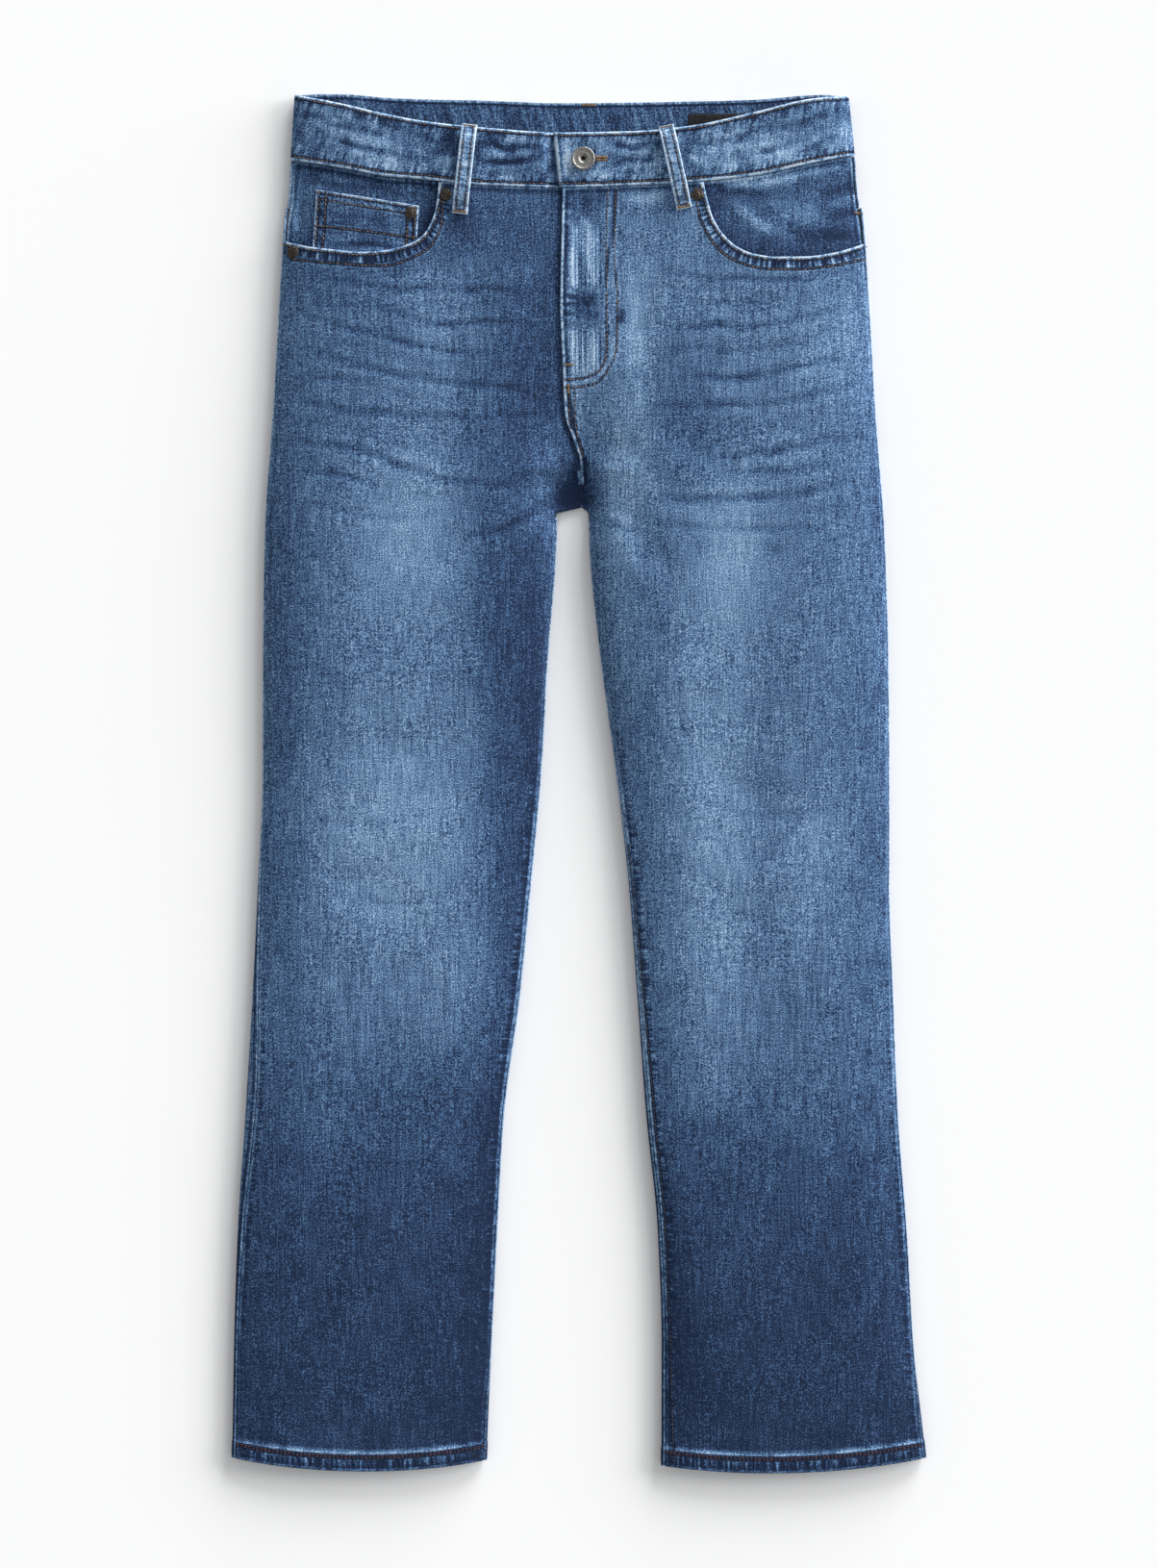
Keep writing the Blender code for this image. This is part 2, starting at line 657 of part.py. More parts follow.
def coin_pocket(shader):
    low_left, top_left, top_right, low_right = COIN_CORNERS
    grid = []
    for i in range(5):
        up = i / 4.0
        left = [mix(a, b, up) for a, b in zip(low_left, top_left)]
        right = [mix(a, b, up) for a, b in zip(low_right, top_right)]
        grid.append([(mix(left[0], right[0], j / 5.0), mix(left[1], right[1], j / 5.0)) for j in range(6)])
    lifts = [[-COIN_DEPTH] * 6 for _ in range(5)]
    return laid_wall("coin_pocket", grid, lifts, CLOTH, shader)


# Waistband, loops, label and zip

def fit_width(x, y):
    """Slide a station in or out as the sides of the band taper."""
    wearer = "right" if x < CENTRE_X else "left"
    reach = (side(y, wearer) - CENTRE_X) / (side(525.0, wearer) - CENTRE_X)
    return CENTRE_X + (x - CENTRE_X) * reach


def band_front_station(x, share, wearer):
    x = fit_width(x, mix(curve(WAIST, x, SEAM), curve(WAIST, x, FRONT_TOP), share))
    level = mix(curve(WAIST, x, SEAM), curve(WAIST, x, FRONT_TOP), share)
    drop = 0.0
    if wearer == "right":
        drop = BAND_DROP * ease(x, BAND_LAP_START - 9.0, BAND_LAP_START - 2.5)
    point = Vector((x, level, top_height(x, level) - drop))
    normal = top_normal(x, level)
    return point + normal * BAND_STAND, normal


def band_fold_station(wearer, degrees, share):
    x = WAIST[0][0] if wearer == "right" else WAIST[-1][0]
    level = mix(curve(WAIST, x, SEAM), curve(WAIST, x, FRONT_TOP), share)
    inward = 1.0 if wearer == "right" else -1.0
    angle = radians(degrees)
    height = FOLD_HEIGHT + BAND_STAND - BACK_REST
    point = Vector((side(level, wearer) + inward * (FOLD_REACH * (1.0 - cos(angle))), level,
                    BACK_REST + height * (1.0 - sin(angle))))
    normal = Vector((-inward * cos(angle) / FOLD_REACH, 0.0, -sin(angle) / height))
    return point, normal.normalized()


def band_back_station(x, share):
    level = mix(band_line(x, "right"), curve(WAIST, x, BACK_TOP), share)
    return Vector((fit_width(x, level), level, BACK_REST)), Vector((0.0, 0.0, -1.0))


def waistband(shader):
    levels = [k / 3.0 for k in range(4)]
    right_x = (BAND_UNDERLAP_END, 12.0, -4.0, -14.0, -22.0, -27.0, -32.0, -48.0, -68.0, -92.0,
               -118.0, -144.0, -168.0, -190.0, -208.0, -220.0, -225.5)
    left_x = (212.5, 207.0, 195.0, 178.0, 157.0, 132.0, 106.0, 82.0, 60.0, 40.0, 20.0, 0.0)
    back_x = [mix(-215.0, 203.0, k / 13.0) for k in range(14)]
    stations = [lambda s, x=x: band_front_station(x, s, "right") for x in right_x]
    stations += [lambda s, d=d: band_fold_station("right", d, s) for d in (0.0, 35.0, 65.0, 90.0)]
    stations += [lambda s, x=x: band_back_station(x, s) for x in back_x]
    stations += [lambda s, d=d: band_fold_station("left", d, s) for d in (90.0, 65.0, 35.0, 0.0)]
    stations += [lambda s, x=x: band_front_station(x, s, "left") for x in left_x]
    stations.append(lambda s: band_front_station(mix(-15.5, -20.5, s), s, "left"))
    outer = []
    inner = []
    for share in levels:
        placed = [station(share) for station in stations]
        outer.append([point for point, _ in placed])
        inner.append([point - normal * BAND_WALL for point, normal in placed])
    band = wall("waistband", outer, inner, shader)
    cut = band.modifiers.new("buttonhole", "BOOLEAN")
    cut.operation = "DIFFERENCE"
    cut.solver = "EXACT"
    cut.object = buttonhole_cutter(shader)
    return band


def buttonhole_cutter(shader):
    """Keyhole: a round eye at the button, and a slit running back from it."""
    x0, y0 = BUTTON_AT
    half = 0.5 * BUTTONHOLE_WIDTH
    opening = half / EYELET_RADIUS
    outline = [(x0 + BUTTONHOLE_LENGTH, y0 - half), (x0 + BUTTONHOLE_LENGTH, y0 + half)]
    for k in range(13):
        angle = mix(opening, 2.0 * pi - opening, k / 12.0)
        outline.append((x0 + EYELET_RADIUS * cos(angle), y0 + EYELET_RADIUS * sin(angle)))
    top = top_height(x0, y0) + BAND_STAND
    middle_of_crevice = top - 0.5 * (BAND_WALL + BAND_DROP)
    cutter = slab("buttonhole_cutter", outline, middle_of_crevice, top + 2.0, shader)
    cutter.hide_render = True
    cutter.display_type = "WIRE"
    return cutter


def front_loop(wearer, shader):
    x_low, x_high, y_low, y_high = FRONT_LOOPS[wearer]
    length = y_high - y_low
    stations = [(d if k < 5 else length + d, lift) for k, (d, lift) in enumerate(LOOP_LIFT)]
    rings = []
    for distance, lift in stations:
        share = distance / length
        x, y = mix(x_low, x_high, share), mix(y_low, y_high, share)
        rings.append((x, y, top_height(x, y) + lift))
    outer = []
    inner = []
    for k, (x, y, z) in enumerate(rings):
        before, after = rings[max(k - 1, 0)], rings[min(k + 1, len(rings) - 1)]
        path = Vector((after[0] - before[0], after[1] - before[1], after[2] - before[2])).normalized()
        across = Vector((path.y, -path.x, 0.0)).normalized()
        up = across.cross(path)
        centre = Vector((x, y, z))
        spread = [across * (0.5 * LOOP_WIDTH * s) for s in (-1.0, 0.0, 1.0)]
        inner.append([centre + offset for offset in spread])
        outer.append([centre + offset + up * LOOP_WALL for offset in spread])
    return wall("belt_loop_front_" + wearer, outer, inner, shader)


def back_loop(place, shader):
    x = BACK_LOOPS[place]
    half = 0.5 * LOOP_WIDTH
    low, high = BACK_LOOP_Y
    outline = [(x - half, low), (x + half, low), (x + half, high), (x - half, high)]
    return slab("belt_loop_back_" + place, outline, 0.0, BACK_LOOP_WALL, shader)


def waist_label(shader):
    x0, x1, y0, y1 = LABEL_BOX
    low = BACK_REST + BAND_WALL + GAP
    return slab("waist_label", [(x0, y0), (x1, y0), (x1, y1), (x0, y1)], low, low + LABEL_WALL, shader)


def fly_zip(shader):
    grid = []
    for k in range(6):
        y = mix(*ZIP_LEVELS, k / 5.0)
        grid.append([(fly_edge(y) + mix(*ZIP_REACH, n / 3.0), y) for n in range(4)])
    lifts = [[-ZIP_DEPTH] * 4 for _ in range(6)]
    return laid_wall("fly_zip", grid, lifts, ZIP_WALL, shader)


# Metal pieces

def waist_button(shader):
    """Domed head with a rim and a central hole, on a shank through the buttonhole."""
    x, y = BUTTON_AT
    band_top = top_height(x, y) + BAND_STAND
    underlap_top = band_top - BAND_DROP
    base = band_top + GAP
    shank_foot = underlap_top + GAP - base
    profile = ((0.0, shank_foot), (SHANK_RADIUS, shank_foot), (SHANK_RADIUS, 0.0),
               (BUTTON_RADIUS - 0.8, 0.0), (BUTTON_RADIUS, 0.8), (BUTTON_RADIUS, 2.2),
               (BUTTON_RADIUS - 0.7, BUTTON_HEIGHT - 0.2), (BUTTON_RADIUS - 1.6, BUTTON_HEIGHT - 0.5),
               (BUTTON_RADIUS - 2.3, BUTTON_HEIGHT - 1.0), (BUTTON_HOLE_RADIUS + 1.5, BUTTON_HEIGHT - 0.4),
               (BUTTON_HOLE_RADIUS + 0.4, BUTTON_HEIGHT - 0.3), (BUTTON_HOLE_RADIUS, BUTTON_HEIGHT - 0.7),
               (BUTTON_HOLE_RADIUS - 0.2, 1.2), (0.0, 1.0))
    return turned("waist_button", profile, 24, shader, Vector((x, y, base)), Vector((0.0, 0.0, 1.0)))


def rivet(name, place, shader):
    x, y = place
    on_coin = name == "rivet_coin_pocket"
    lift = (GAP - COIN_DEPTH) if on_coin else CREVICE
    profile = ((0.0, 0.0), (RIVET_RADIUS, 0.0), (RIVET_RADIUS, 0.4), (RIVET_RADIUS - 0.9, 1.0),
               (2.0, RIVET_HEIGHT), (0.0, RIVET_HEIGHT))
    return turned(name, profile, 14, shader, laid(x, y, lift, "left"), top_normal(x, y))


def build():
    for old in list(bpy.data.objects):
        bpy.data.objects.remove(old)
    denim = material("stonewashed_denim", (0.075, 0.17, 0.36), 0.85)
    dark_denim = material("pocket_denim", (0.06, 0.13, 0.29), 0.88)
    nickel = material("aged_nickel", (0.42, 0.41, 0.4), 0.35, 1.0)
    bronze = material("dark_bronze", (0.2, 0.16, 0.12), 0.45, 1.0)
    tape = material("zip_tape", (0.03, 0.05, 0.09), 0.8)
    black_cloth = material("black_label_cloth", (0.012, 0.012, 0.014), 0.6)
    for wearer in ("right", "left"):
        front_panel(wearer, denim)
        back_panel(wearer, denim)
        back_yoke(wearer, denim)
        back_pocket(wearer, denim)
        pocket_facing(wearer, dark_denim)
        front_loop(wearer, denim)
    for place in BACK_LOOPS:
        back_loop(place, denim)
    coin_pocket(dark_denim)
    waistband(denim)
    waist_label(black_cloth)
    fly_zip(tape)
    waist_button(nickel)
    for name, place in RIVETS.items():
        rivet(name, place, bronze)


build()
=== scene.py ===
from math import pi, radians

import bpy
import numpy as np
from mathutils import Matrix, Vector


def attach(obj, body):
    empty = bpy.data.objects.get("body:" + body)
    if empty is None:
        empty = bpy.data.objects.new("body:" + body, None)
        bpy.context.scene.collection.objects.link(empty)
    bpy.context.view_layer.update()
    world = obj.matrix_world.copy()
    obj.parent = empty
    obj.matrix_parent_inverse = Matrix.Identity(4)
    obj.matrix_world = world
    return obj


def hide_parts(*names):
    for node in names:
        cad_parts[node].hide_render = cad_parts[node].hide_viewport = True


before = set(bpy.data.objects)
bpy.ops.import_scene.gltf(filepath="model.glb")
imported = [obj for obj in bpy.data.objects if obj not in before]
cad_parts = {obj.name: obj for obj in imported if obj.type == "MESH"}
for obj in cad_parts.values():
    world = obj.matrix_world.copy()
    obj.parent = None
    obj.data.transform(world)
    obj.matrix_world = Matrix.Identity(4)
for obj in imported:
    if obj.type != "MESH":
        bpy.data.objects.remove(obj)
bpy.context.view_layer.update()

mm = 0.001  # the tables and functions below work in millimetres, as the construction does

# The form of the jeans: "right" is the wearer's right, at -X, and the waist lies towards +Y
garment = {
    "cloth": 1.2,
    "gap": 0.3,
    "hemDepth": 13.0,
    "hemSlope": 3.0,
    "hemWall": 2.6,
    "hemStand": 0.5,
    "foldHeight": 7.0,
    "foldReach": 5.0,
    "sideShoulder": 85.0,
    "innerShoulder": 70.0,
    "flyLap": 8.0,
    "flyDrop": 1.8,
    "centreX": -5.0,
    "backRest": 1.8,
    "pocketRaise": 1.6,
    "forkX": -6.0,
    "forkLevel": 221.0,
    "forkOpen": 218.0,
    "hipLevel": 395.0,
    "foldMargin": 34.0,
}
# level, right side fold, left side fold, crown of the cloth
outlineRows = (
    (-560, -279, 279.5, 12.5), (-540, -278, 277.9, 12.5), (-451, -276.4, 268, 13.5),
    (-359, -273.4, 262.6, 14), (-266, -267.2, 255.6, 14.5), (-174, -261.8, 251.8, 15),
    (-82, -257.2, 248.7, 16), (11, -253.3, 248.7, 17.5), (103, -253.2, 247.9, 19.5),
    (196, -251.8, 244.9, 20), (303, -244.9, 237.2, 19), (396, -239.5, 231.8, 18),
    (442, -235.9, 227.9, 16.5), (475, -232, 222.8, 15), (499, -231, 221.2, 15), (556, -227.5, 215.4, 15),
)
# level, right and left inseam folds, height of the fold or of the valley at the fly
valleyRows = (
    (-560, -75, 66, 7), (-451, -70.1, 66.2, 7), (-359, -65.5, 63.1, 7), (-266, -60.1, 53.9, 7),
    (-174, -47.7, 47, 7), (-82, -38.5, 40, 7), (11, -30, 29.3, 7), (103, -24.6, 16.9, 7),
    (185, -18.2, 8.6, 7), (205, -17.6, 7.8, 5.2), (218, -18, 7.2, 3), (238, -18.6, 6.2, 3.4),
    (245, -15.5, 5.4, 4.8), (253, -6, 3.2, 6.6), (264, -1, 0.4, 9.5), (300, -12, -12, 13.5),
    (345, -13.6, -13.6, 17), (390, -15, -15, 19), (560, -13, -13, 19),
)
flyRows = (
    (221, 2.3), (257, 0.8), (273, -3.9), (296, -11.5), (335, -13.2), (386, -15.2), (424, -13.9), (485, -13.2),
)
# level, then how far in from the folds the seams lie: right outseam, right inseam, left inseam, left outseam
insetRows = (
    (-560, 3.2, 3.2, 3.2, 3.2), (-520, 3.2, 3.2, 3.2, 3.2), (-450, 3.2, 1.5, 3, 1.2),
    (-350, 5, 1.5, 3, 1.2), (-253, 8, 1.5, 3, 1.2), (-143, 4, 1.5, 2.5, 1.2), (-30, 1.5, 1.2, 1.8, 1.2),
    (60, 1.2, 1.2, 1.2, 1.2), (520, 1.2, 1.2, 1.2, 1.2),
)
# x, bottom seam of the band, its top in front and behind
waistRows = (
    (-228, 498.6, 551.2, 552.2), (-190, 492, 543.3, 552), (-154, 485.2, 534.7, 549.1),
    (-122, 482.4, 528.9, 547.9), (-78, 477.9, 524.1, 547), (-15, 476, 520, 544.9),
    (46, 477.9, 521.2, 545.4), (89, 480.2, 525.4, 546.2), (141, 485.8, 536.5, 547.6),
    (187, 496, 547.5, 551.2), (216, 502, 550.2, 552.2),
)
pocketMouth = {
    "right": ((-236, 433.5), (-214, 428.5), (-196, 426.3), (-174, 424.3), (-156, 425.4), (-138.6, 429.7),
              (-125.5, 436.9), (-118.3, 448.1), (-114.7, 458.9), (-112, 480.6)),
    "left": ((229.5, 432), (203.3, 423.8), (181, 420.7), (158, 420.4), (140.1, 422.7), (126.3, 428.4),
             (115.2, 438.5), (107, 452), (102.8, 465.9), (99.5, 480.5)),
}
flyColumns = {"right": (-80, -48), "left": (66, 30)}
hemEdge = {"right": (-540.4, -542.2, 9.4), "left": (-540.5, -546.7, 8.3)}  # y outside, y inside, sag
# The largest folds: from x, y to x, y, half width, height
foldRows = (
    (-30, 470, -34, 280, 24, -1.6), (-52, 440, -60, 300, 26, 0.9), (44, 440, 52, 270, 26, -0.9),
    (-34, 236, -110, 150, 24, -1.5), (22, 250, 78, 150, 22, -1.5), (50, 270, 128, 226, 22, 1),
    (-60, 262, -160, 232, 24, 0.9), (-100, -20, -190, -60, 30, 1.3), (-205, -70, -120, -110, 30, -1.2),
    (85, 20, 175, -30, 30, -1.2), (210, -60, 120, -96, 30, 1.2), (-130, -260, -210, -480, 34, 1),
    (120, -480, 190, -260, 34, 1), (95, -250, 110, -430, 30, -1),
)


def mix(first, second, share):
    return first + (second - first) * share


def ease(value, start, end):
    share = np.clip((value - start) / (end - start), 0.0, 1.0)
    return share * share * (3.0 - 2.0 * share)


def within(value, start, full, fading, end):
    # 0 up to start, 1 from full to fading, and 0 again from end on
    return ease(value, start, full) * (1.0 - ease(value, fading, end))


def bell(offset, width):
    # 1 where the offset is nothing, fading away over the width
    return np.exp(-(offset / width) ** 2)


def curve(rows, at, column=1):
    # smooth value of one column of a table, with no overshoot between its rows
    table = np.array(sorted(rows), float)
    place, value = table[:, 0], table[:, column]
    pitch = np.diff(value) / np.diff(place)
    same = pitch[:-1] * pitch[1:] > 0.0
    middle = np.where(same, 2.0 * pitch[:-1] * pitch[1:] / np.where(same, pitch[:-1] + pitch[1:], 1.0), 0.0)
    slope = np.concatenate(([pitch[0]], middle, [pitch[-1]]))
    at = np.clip(np.asarray(at, float), place[0], place[-1])
    k = np.clip(np.searchsorted(place, at, "right") - 1, 0, len(place) - 2)
    span = place[k + 1] - place[k]
    t = (at - place[k]) / span
    return (value[k] * (1.0 + 2.0 * t) * (1.0 - t) ** 2 + value[k + 1] * t * t * (3.0 - 2.0 * t)
            + slope[k] * span * t * (1.0 - t) ** 2 - slope[k + 1] * span * t * t * (1.0 - t))


def swell(share):
    # how cloth rises from a fold, at 0, to its crown, at 1
    return (1.0 - (1.0 - np.clip(share, 0.0, 1.0)) ** 2.4) ** 0.62


def side(y, wearer):
    return curve(outlineRows, y, 1 if wearer == "right" else 2)


def inseam(y, wearer):
    return curve(valleyRows, y, 1 if wearer == "right" else 2)


def inwardOf(wearer):
    # the way along X from a leg's outseam to its inseam
    return 1.0 if wearer == "right" else -1.0


def fromFolds(x, y):
    # how far a place lies in from the folds at the sides, and from those at the inseams
    fromSide = np.minimum(x - side(y, "right"), side(y, "left") - x)
    return fromSide, np.maximum(np.maximum(inseam(y, "right") - x, x - inseam(y, "left")), 0.0)


def hemShare(rise):
    # 1 on the turned-up hem, at a rise over its fold, and 0 above it
    return 1.0 - ease(rise, garment["hemDepth"], garment["hemDepth"] + garment["hemSlope"])


def foldRelief(x, y):
    total = np.zeros(np.broadcast(x, y).shape)
    for x0, y0, x1, y1, halfWidth, height in foldRows:
        length = np.hypot(x1 - x0, y1 - y0)
        share = ((x - x0) * (x1 - x0) + (y - y0) * (y1 - y0)) / length ** 2
        aside = np.abs((x - x0) * (y1 - y0) - (y - y0) * (x1 - x0)) / length
        across = np.cos(0.5 * pi * np.clip(aside / halfWidth, 0, 1)) ** 2
        total += height * np.sin(pi * np.clip(share, 0, 1)) * across
    return total


def topHeight(x, y):
    crown = curve(outlineRows, y, 3)
    floorLevel = np.minimum(crown, curve(valleyRows, y, 3))
    fromSide, fromGap = fromFolds(x, y)
    height = crown - (crown - garment["foldHeight"]) * (1.0 - swell(fromSide / garment["sideShoulder"]))
    share = fromGap / garment["innerShoulder"]
    rise = mix(swell(share), ease(share, 0.0, 1.0), ease(y, 248.0, 272.0))
    height = height - (crown - floorLevel) * (1.0 - rise)
    return height + foldRelief(x, y) * reachOf(x, y, garment["foldMargin"])


def reachOf(x, y, margin):
    # 0 at the folds of a leg and 1 further in, where creases have their full depth
    fromSide, fromGap = fromFolds(x, y)
    return np.clip(fromSide / margin, 0, 1) * np.where(y < 300.0, np.clip(fromGap / margin, 0, 1), 1.0)


def topNormal(x, y):
    step = 0.5
    slopeX = (topHeight(x + step, y) - topHeight(x - step, y)) / (2.0 * step)
    slopeY = (topHeight(x, y + step) - topHeight(x, y - step)) / (2.0 * step)
    return unit(np.stack([-slopeX, -slopeY, np.ones_like(slopeX)], -1))


def unit(vectors):
    return vectors / np.linalg.norm(vectors, axis=-1, keepdims=True)


def flyEdge(y):
    return curve(flyRows, y)


def frontDrop(x, y, wearer):
    if wearer == "left":
        return np.zeros(np.broadcast(x, y).shape)
    drop = garment["flyDrop"] * ease(y, 249.0, 262.0) * ease(x, flyEdge(y) - 8.5, flyEdge(y) - 1.5)
    return np.where(y < garment["forkLevel"], 0.0, drop)


def softNoise(x, y, sizeX, sizeY, seed):
    # smooth value noise from -1 to 1, with cells of sizeX by sizeY
    lattice = np.random.RandomState(seed).uniform(-1.0, 1.0, (257, 257))
    u, v = np.broadcast_arrays(np.asarray(x, float) / sizeX + 500.0, np.asarray(y, float) / sizeY + 500.0)
    i, j = np.floor(u).astype(int), np.floor(v).astype(int)
    s, t = u - i, v - j
    s, t = s * s * (3 - 2 * s), t * t * (3 - 2 * t)
    i, j = i % 256, j % 256
    low = mix(lattice[i, j], lattice[i + 1, j], s)
    high = mix(lattice[i, j + 1], lattice[i + 1, j + 1], s)
    return mix(low, high, t)


def distanceTo(x, y, points):
    # distance to a line of points, signed by the side of it, and the share of its length
    best = np.full(np.broadcast(x, y).shape, 1e9)
    signed = best.copy()
    share = np.zeros_like(best)
    steps = [np.hypot(b[0] - a[0], b[1] - a[1]) for a, b in zip(points, points[1:])]
    passed, whole = 0.0, sum(steps)
    for (x0, y0), (x1, y1), length in zip(points, points[1:], steps):
        along = np.clip(((x - x0) * (x1 - x0) + (y - y0) * (y1 - y0)) / length ** 2, 0, 1)
        off = np.hypot(x - mix(x0, x1, along), y - mix(y0, y1, along))
        turn = np.sign((x1 - x0) * (y - y0) - (y1 - y0) * (x - x0))
        near = off < best
        best = np.where(near, off, best)
        signed = np.where(near, off * turn, signed)
        share = np.where(near, (passed + along * length) / whole, share)
        passed += length
    return signed, share


def smoothLine(points, count=24):
    # a line of count points through a few given ones
    points = np.array(points, float)
    reach = np.concatenate(([0.0], np.cumsum(np.hypot(*np.diff(points, axis=0).T))))
    at = np.linspace(0.0, reach[-1], count)
    rows = [(r, px, py) for r, (px, py) in zip(reach, points)]
    return np.stack([curve(rows, at, 1), curve(rows, at, 2)], -1)


def spots(x, y, rows):
    # the sum of soft round marks: x, y, radius across, radius along, change of tone
    return sum(change * bell(x - cx, across) * bell(y - cy, along) for cx, cy, across, along, change in rows)


def strokes(x, y, rows, count=8, taper=0.0):
    # the sum of soft marks along lines: points, width, change of tone; a taper over 0 thins their ends
    total = np.zeros(np.broadcast(x, y).shape)
    for points, width, change in rows:
        off, along = distanceTo(x, y, smoothLine(points, count))
        total += change * bell(off, width) * np.sin(pi * np.clip(along, 0.08, 0.92)) ** taper
    return total


# Worn and faded places of the front: x, y, radius across, radius along, change of tone; the last one, dark at
# the fork, is painted shade in the pit between the legs
fadesAndForkShade = (
    (-135, 195, 50, 70, 0.26), (-135, -35, 62, 120, 0.25), (-195, -60, 40, 120, 0.08),
    (-120, 350, 24, 90, 0.06), (-45, 330, 20, 110, -0.16), (-62, 60, 20, 230, -0.16),
    (-150, 440, 50, 26, -0.16), (-95, -150, 36, 60, 0.08), (48, 350, 14, 90, 0.18),
    (42, 235, 24, 40, 0.14), (122, 178, 30, 56, 0.22), (105, 10, 34, 130, 0.20), (118, -150, 40, 90, 0.16),
    (185, -62, 28, 60, 0.14), (205, 362, 34, 40, 0.14), (80, 425, 60, 40, 0.06), (150, 90, 110, 320, 0.06),
    (88, 288, 26, 40, -0.12), (82, -430, 22, 90, -0.10), (238, -10, 14, 130, -0.08),
    (150, -30, 14, 260, -0.03), (-235, 20, 14, 330, -0.06), (-84, 230, 24, 90, -0.09),
    (14, 315, 28, 42, 0.11), (200, -520, 90, 40, -0.03), (-180, 330, 50, 90, -0.02),
    (240, 225, 9, 60, -0.10), (-36, 70, 11, 120, -0.19), (-70, -260, 20, 40, -0.04),
    (45, 190, 14, 30, 0.04), (32, 165, 14, 90, 0.14), (33, 276, 11, 22, 0.08), (-180, 415, 45, 28, -0.07),
    (135, -165, 28, 46, -0.08), (-138, -242, 28, 30, -0.06), (255, -515, 26, 30, -0.04),
    (118, -512, 18, 34, -0.05), (-267, -285, 10, 60, 0.05), (-92, 448, 13, 26, -0.22),
    (-60, 446, 16, 26, -0.08), (-2, 256, 9, 26, -0.20), (2, 321, 8, 12, 0.10), (-238, 380, 10, 70, 0.07),
    # the last mark here, dark at the fork, is painted shade in the pit between the legs
    (105, -240, 30, 28, 0.06), (-45, -190, 20, 90, -0.04), (-6, 228, 15, 13, -0.6),
)
# Fine creases across the hips and at the top of the legs: points, width, strength
whiskers = (
    (((-213, 406), (-129, 394), (-32, 394)), 2.6, 0.8), (((-167, 383), (-102, 367), (-40, 369)), 2.8, 1.0),
    (((-225, 375), (-175, 361), (-109, 346), (-63, 342)), 2.8, 1.0),
    (((-229, 350), (-186, 336), (-129, 323), (-32, 315)), 3.0, 0.9),
    (((-233, 325), (-148, 319)), 2.4, 0.6),
    (((-229, 306), (-167, 296), (-102, 292), (-32, 294)), 3.0, 0.8),
    (((-229, 275), (-186, 269), (-136, 252), (-90, 240), (-40, 240)), 3.2, 1.0),
    (((-229, 252), (-190, 246), (-148, 234)), 2.6, 0.7),
    (((60, 410), (106, 403), (160, 402), (218, 411)), 2.6, 0.8), (((79, 383), (141, 384)), 2.2, 0.5),
    (((60, 360), (102, 365), (145, 365), (218, 384)), 2.8, 0.9),
    (((64, 346), (122, 346), (191, 356)), 2.4, 0.6),
    (((79, 323), (129, 325), (199, 338), (229, 350)), 3.0, 1.0),
    (((56, 302), (122, 302), (168, 307), (226, 319)), 2.8, 0.9),
    (((106, 259), (152, 265), (222, 279)), 3.0, 1.0), (((126, 248), (168, 249), (199, 257)), 2.6, 0.8),
    (((45, 230), (75, 225), (129, 226), (218, 242)), 3.2, 1.0),
    (((64, 209), (106, 203), (152, 203), (199, 206)), 3.0, 0.8), (((6, 215), (56, 196)), 3.0, 0.7),
    (((-20, 232), (-60, 205), (-95, 196)), 3.4, 0.7), (((-105, 215), (-150, 212), (-215, 226)), 3.0, 0.6),
    (((-110, -22), (-165, -34), (-220, -30)), 4.0, 0.4),
    (((-100, -88), (-150, -96), (-205, -84)), 4.0, 0.4), (((90, -12), (140, -26), (215, -20)), 4.0, 0.4),
    (((100, -100), (165, -112), (225, -104)), 4.0, 0.35),
)
# The same on the back, where the knees and the seat bend it
backCreases = (
    (((-232, 10), (-160, 22), (-70, 6)), 5.0, 0.8), (((-230, -34), (-150, -24), (-66, -40)), 5.0, 0.7),
    (((-225, 208), (-150, 196), (-60, 214)), 5.0, 0.9), (((-215, 178), (-140, 168), (-50, 182)), 5.0, 0.6),
    (((70, 14), (150, 26), (226, 8)), 5.0, 0.8), (((66, -36), (140, -22), (222, -38)), 5.0, 0.7),
    (((56, 214), (140, 196), (216, 210)), 5.0, 0.9), (((50, 180), (130, 168), (205, 176)), 5.0, 0.6),
)
# Stretches of the fly that the wash left pale or dark: points, width, change of tone
streaks = (
    (((-4, 441), (-5, 420), (-5, 400)), 3.4, 0.46), (((6, 446), (7, 424), (7, 404)), 3.8, 0.40),
    (((14, 440), (15, 410), (15, 380)), 3.0, 0.16), (((-5, 360), (-5, 345), (-4, 330)), 3.0, 0.34),
    (((3, 362), (4, 345), (4, 330)), 3.2, 0.30), (((12, 352), (12, 340), (9, 332)), 3.4, 0.26),
    (((18, 330), (26, 338), (28, 352)), 2.8, 0.20), (((-9, 466), (4, 464), (20, 468)), 8.0, -0.30),
    (((-8, 388), (2, 386), (12, 388)), 5.0, -0.26), (((-8, 374), (2, 372), (10, 374)), 5.0, -0.24),
    (((-8, 381), (2, 379), (11, 381)), 6.0, -0.16), (((34, 376), (33, 369)), 2.8, -0.46),
    (((-11, 393), (-4, 392)), 1.3, 0.62), (((-11, 386), (-4, 385)), 1.3, 0.60),
    (((-11, 379), (-4, 378)), 1.3, 0.60), (((-11, 372), (-3, 371)), 1.3, 0.62),
    (((-11, 457), (-6, 456)), 1.4, 0.40), (((-11, 466), (-6, 465)), 1.4, 0.36),
    (((-11, 448), (-5, 447)), 1.4, 0.34), (((25, 440), (25, 400), (26, 370)), 2.0, 0.14),
    (((-4, 318), (0, 300), (2, 286)), 2.6, 0.18), (((38, 468), (50, 466), (64, 470)), 5.0, 0.26),
    (((42, 400), (43, 370), (42, 330)), 7.0, 0.12),
)
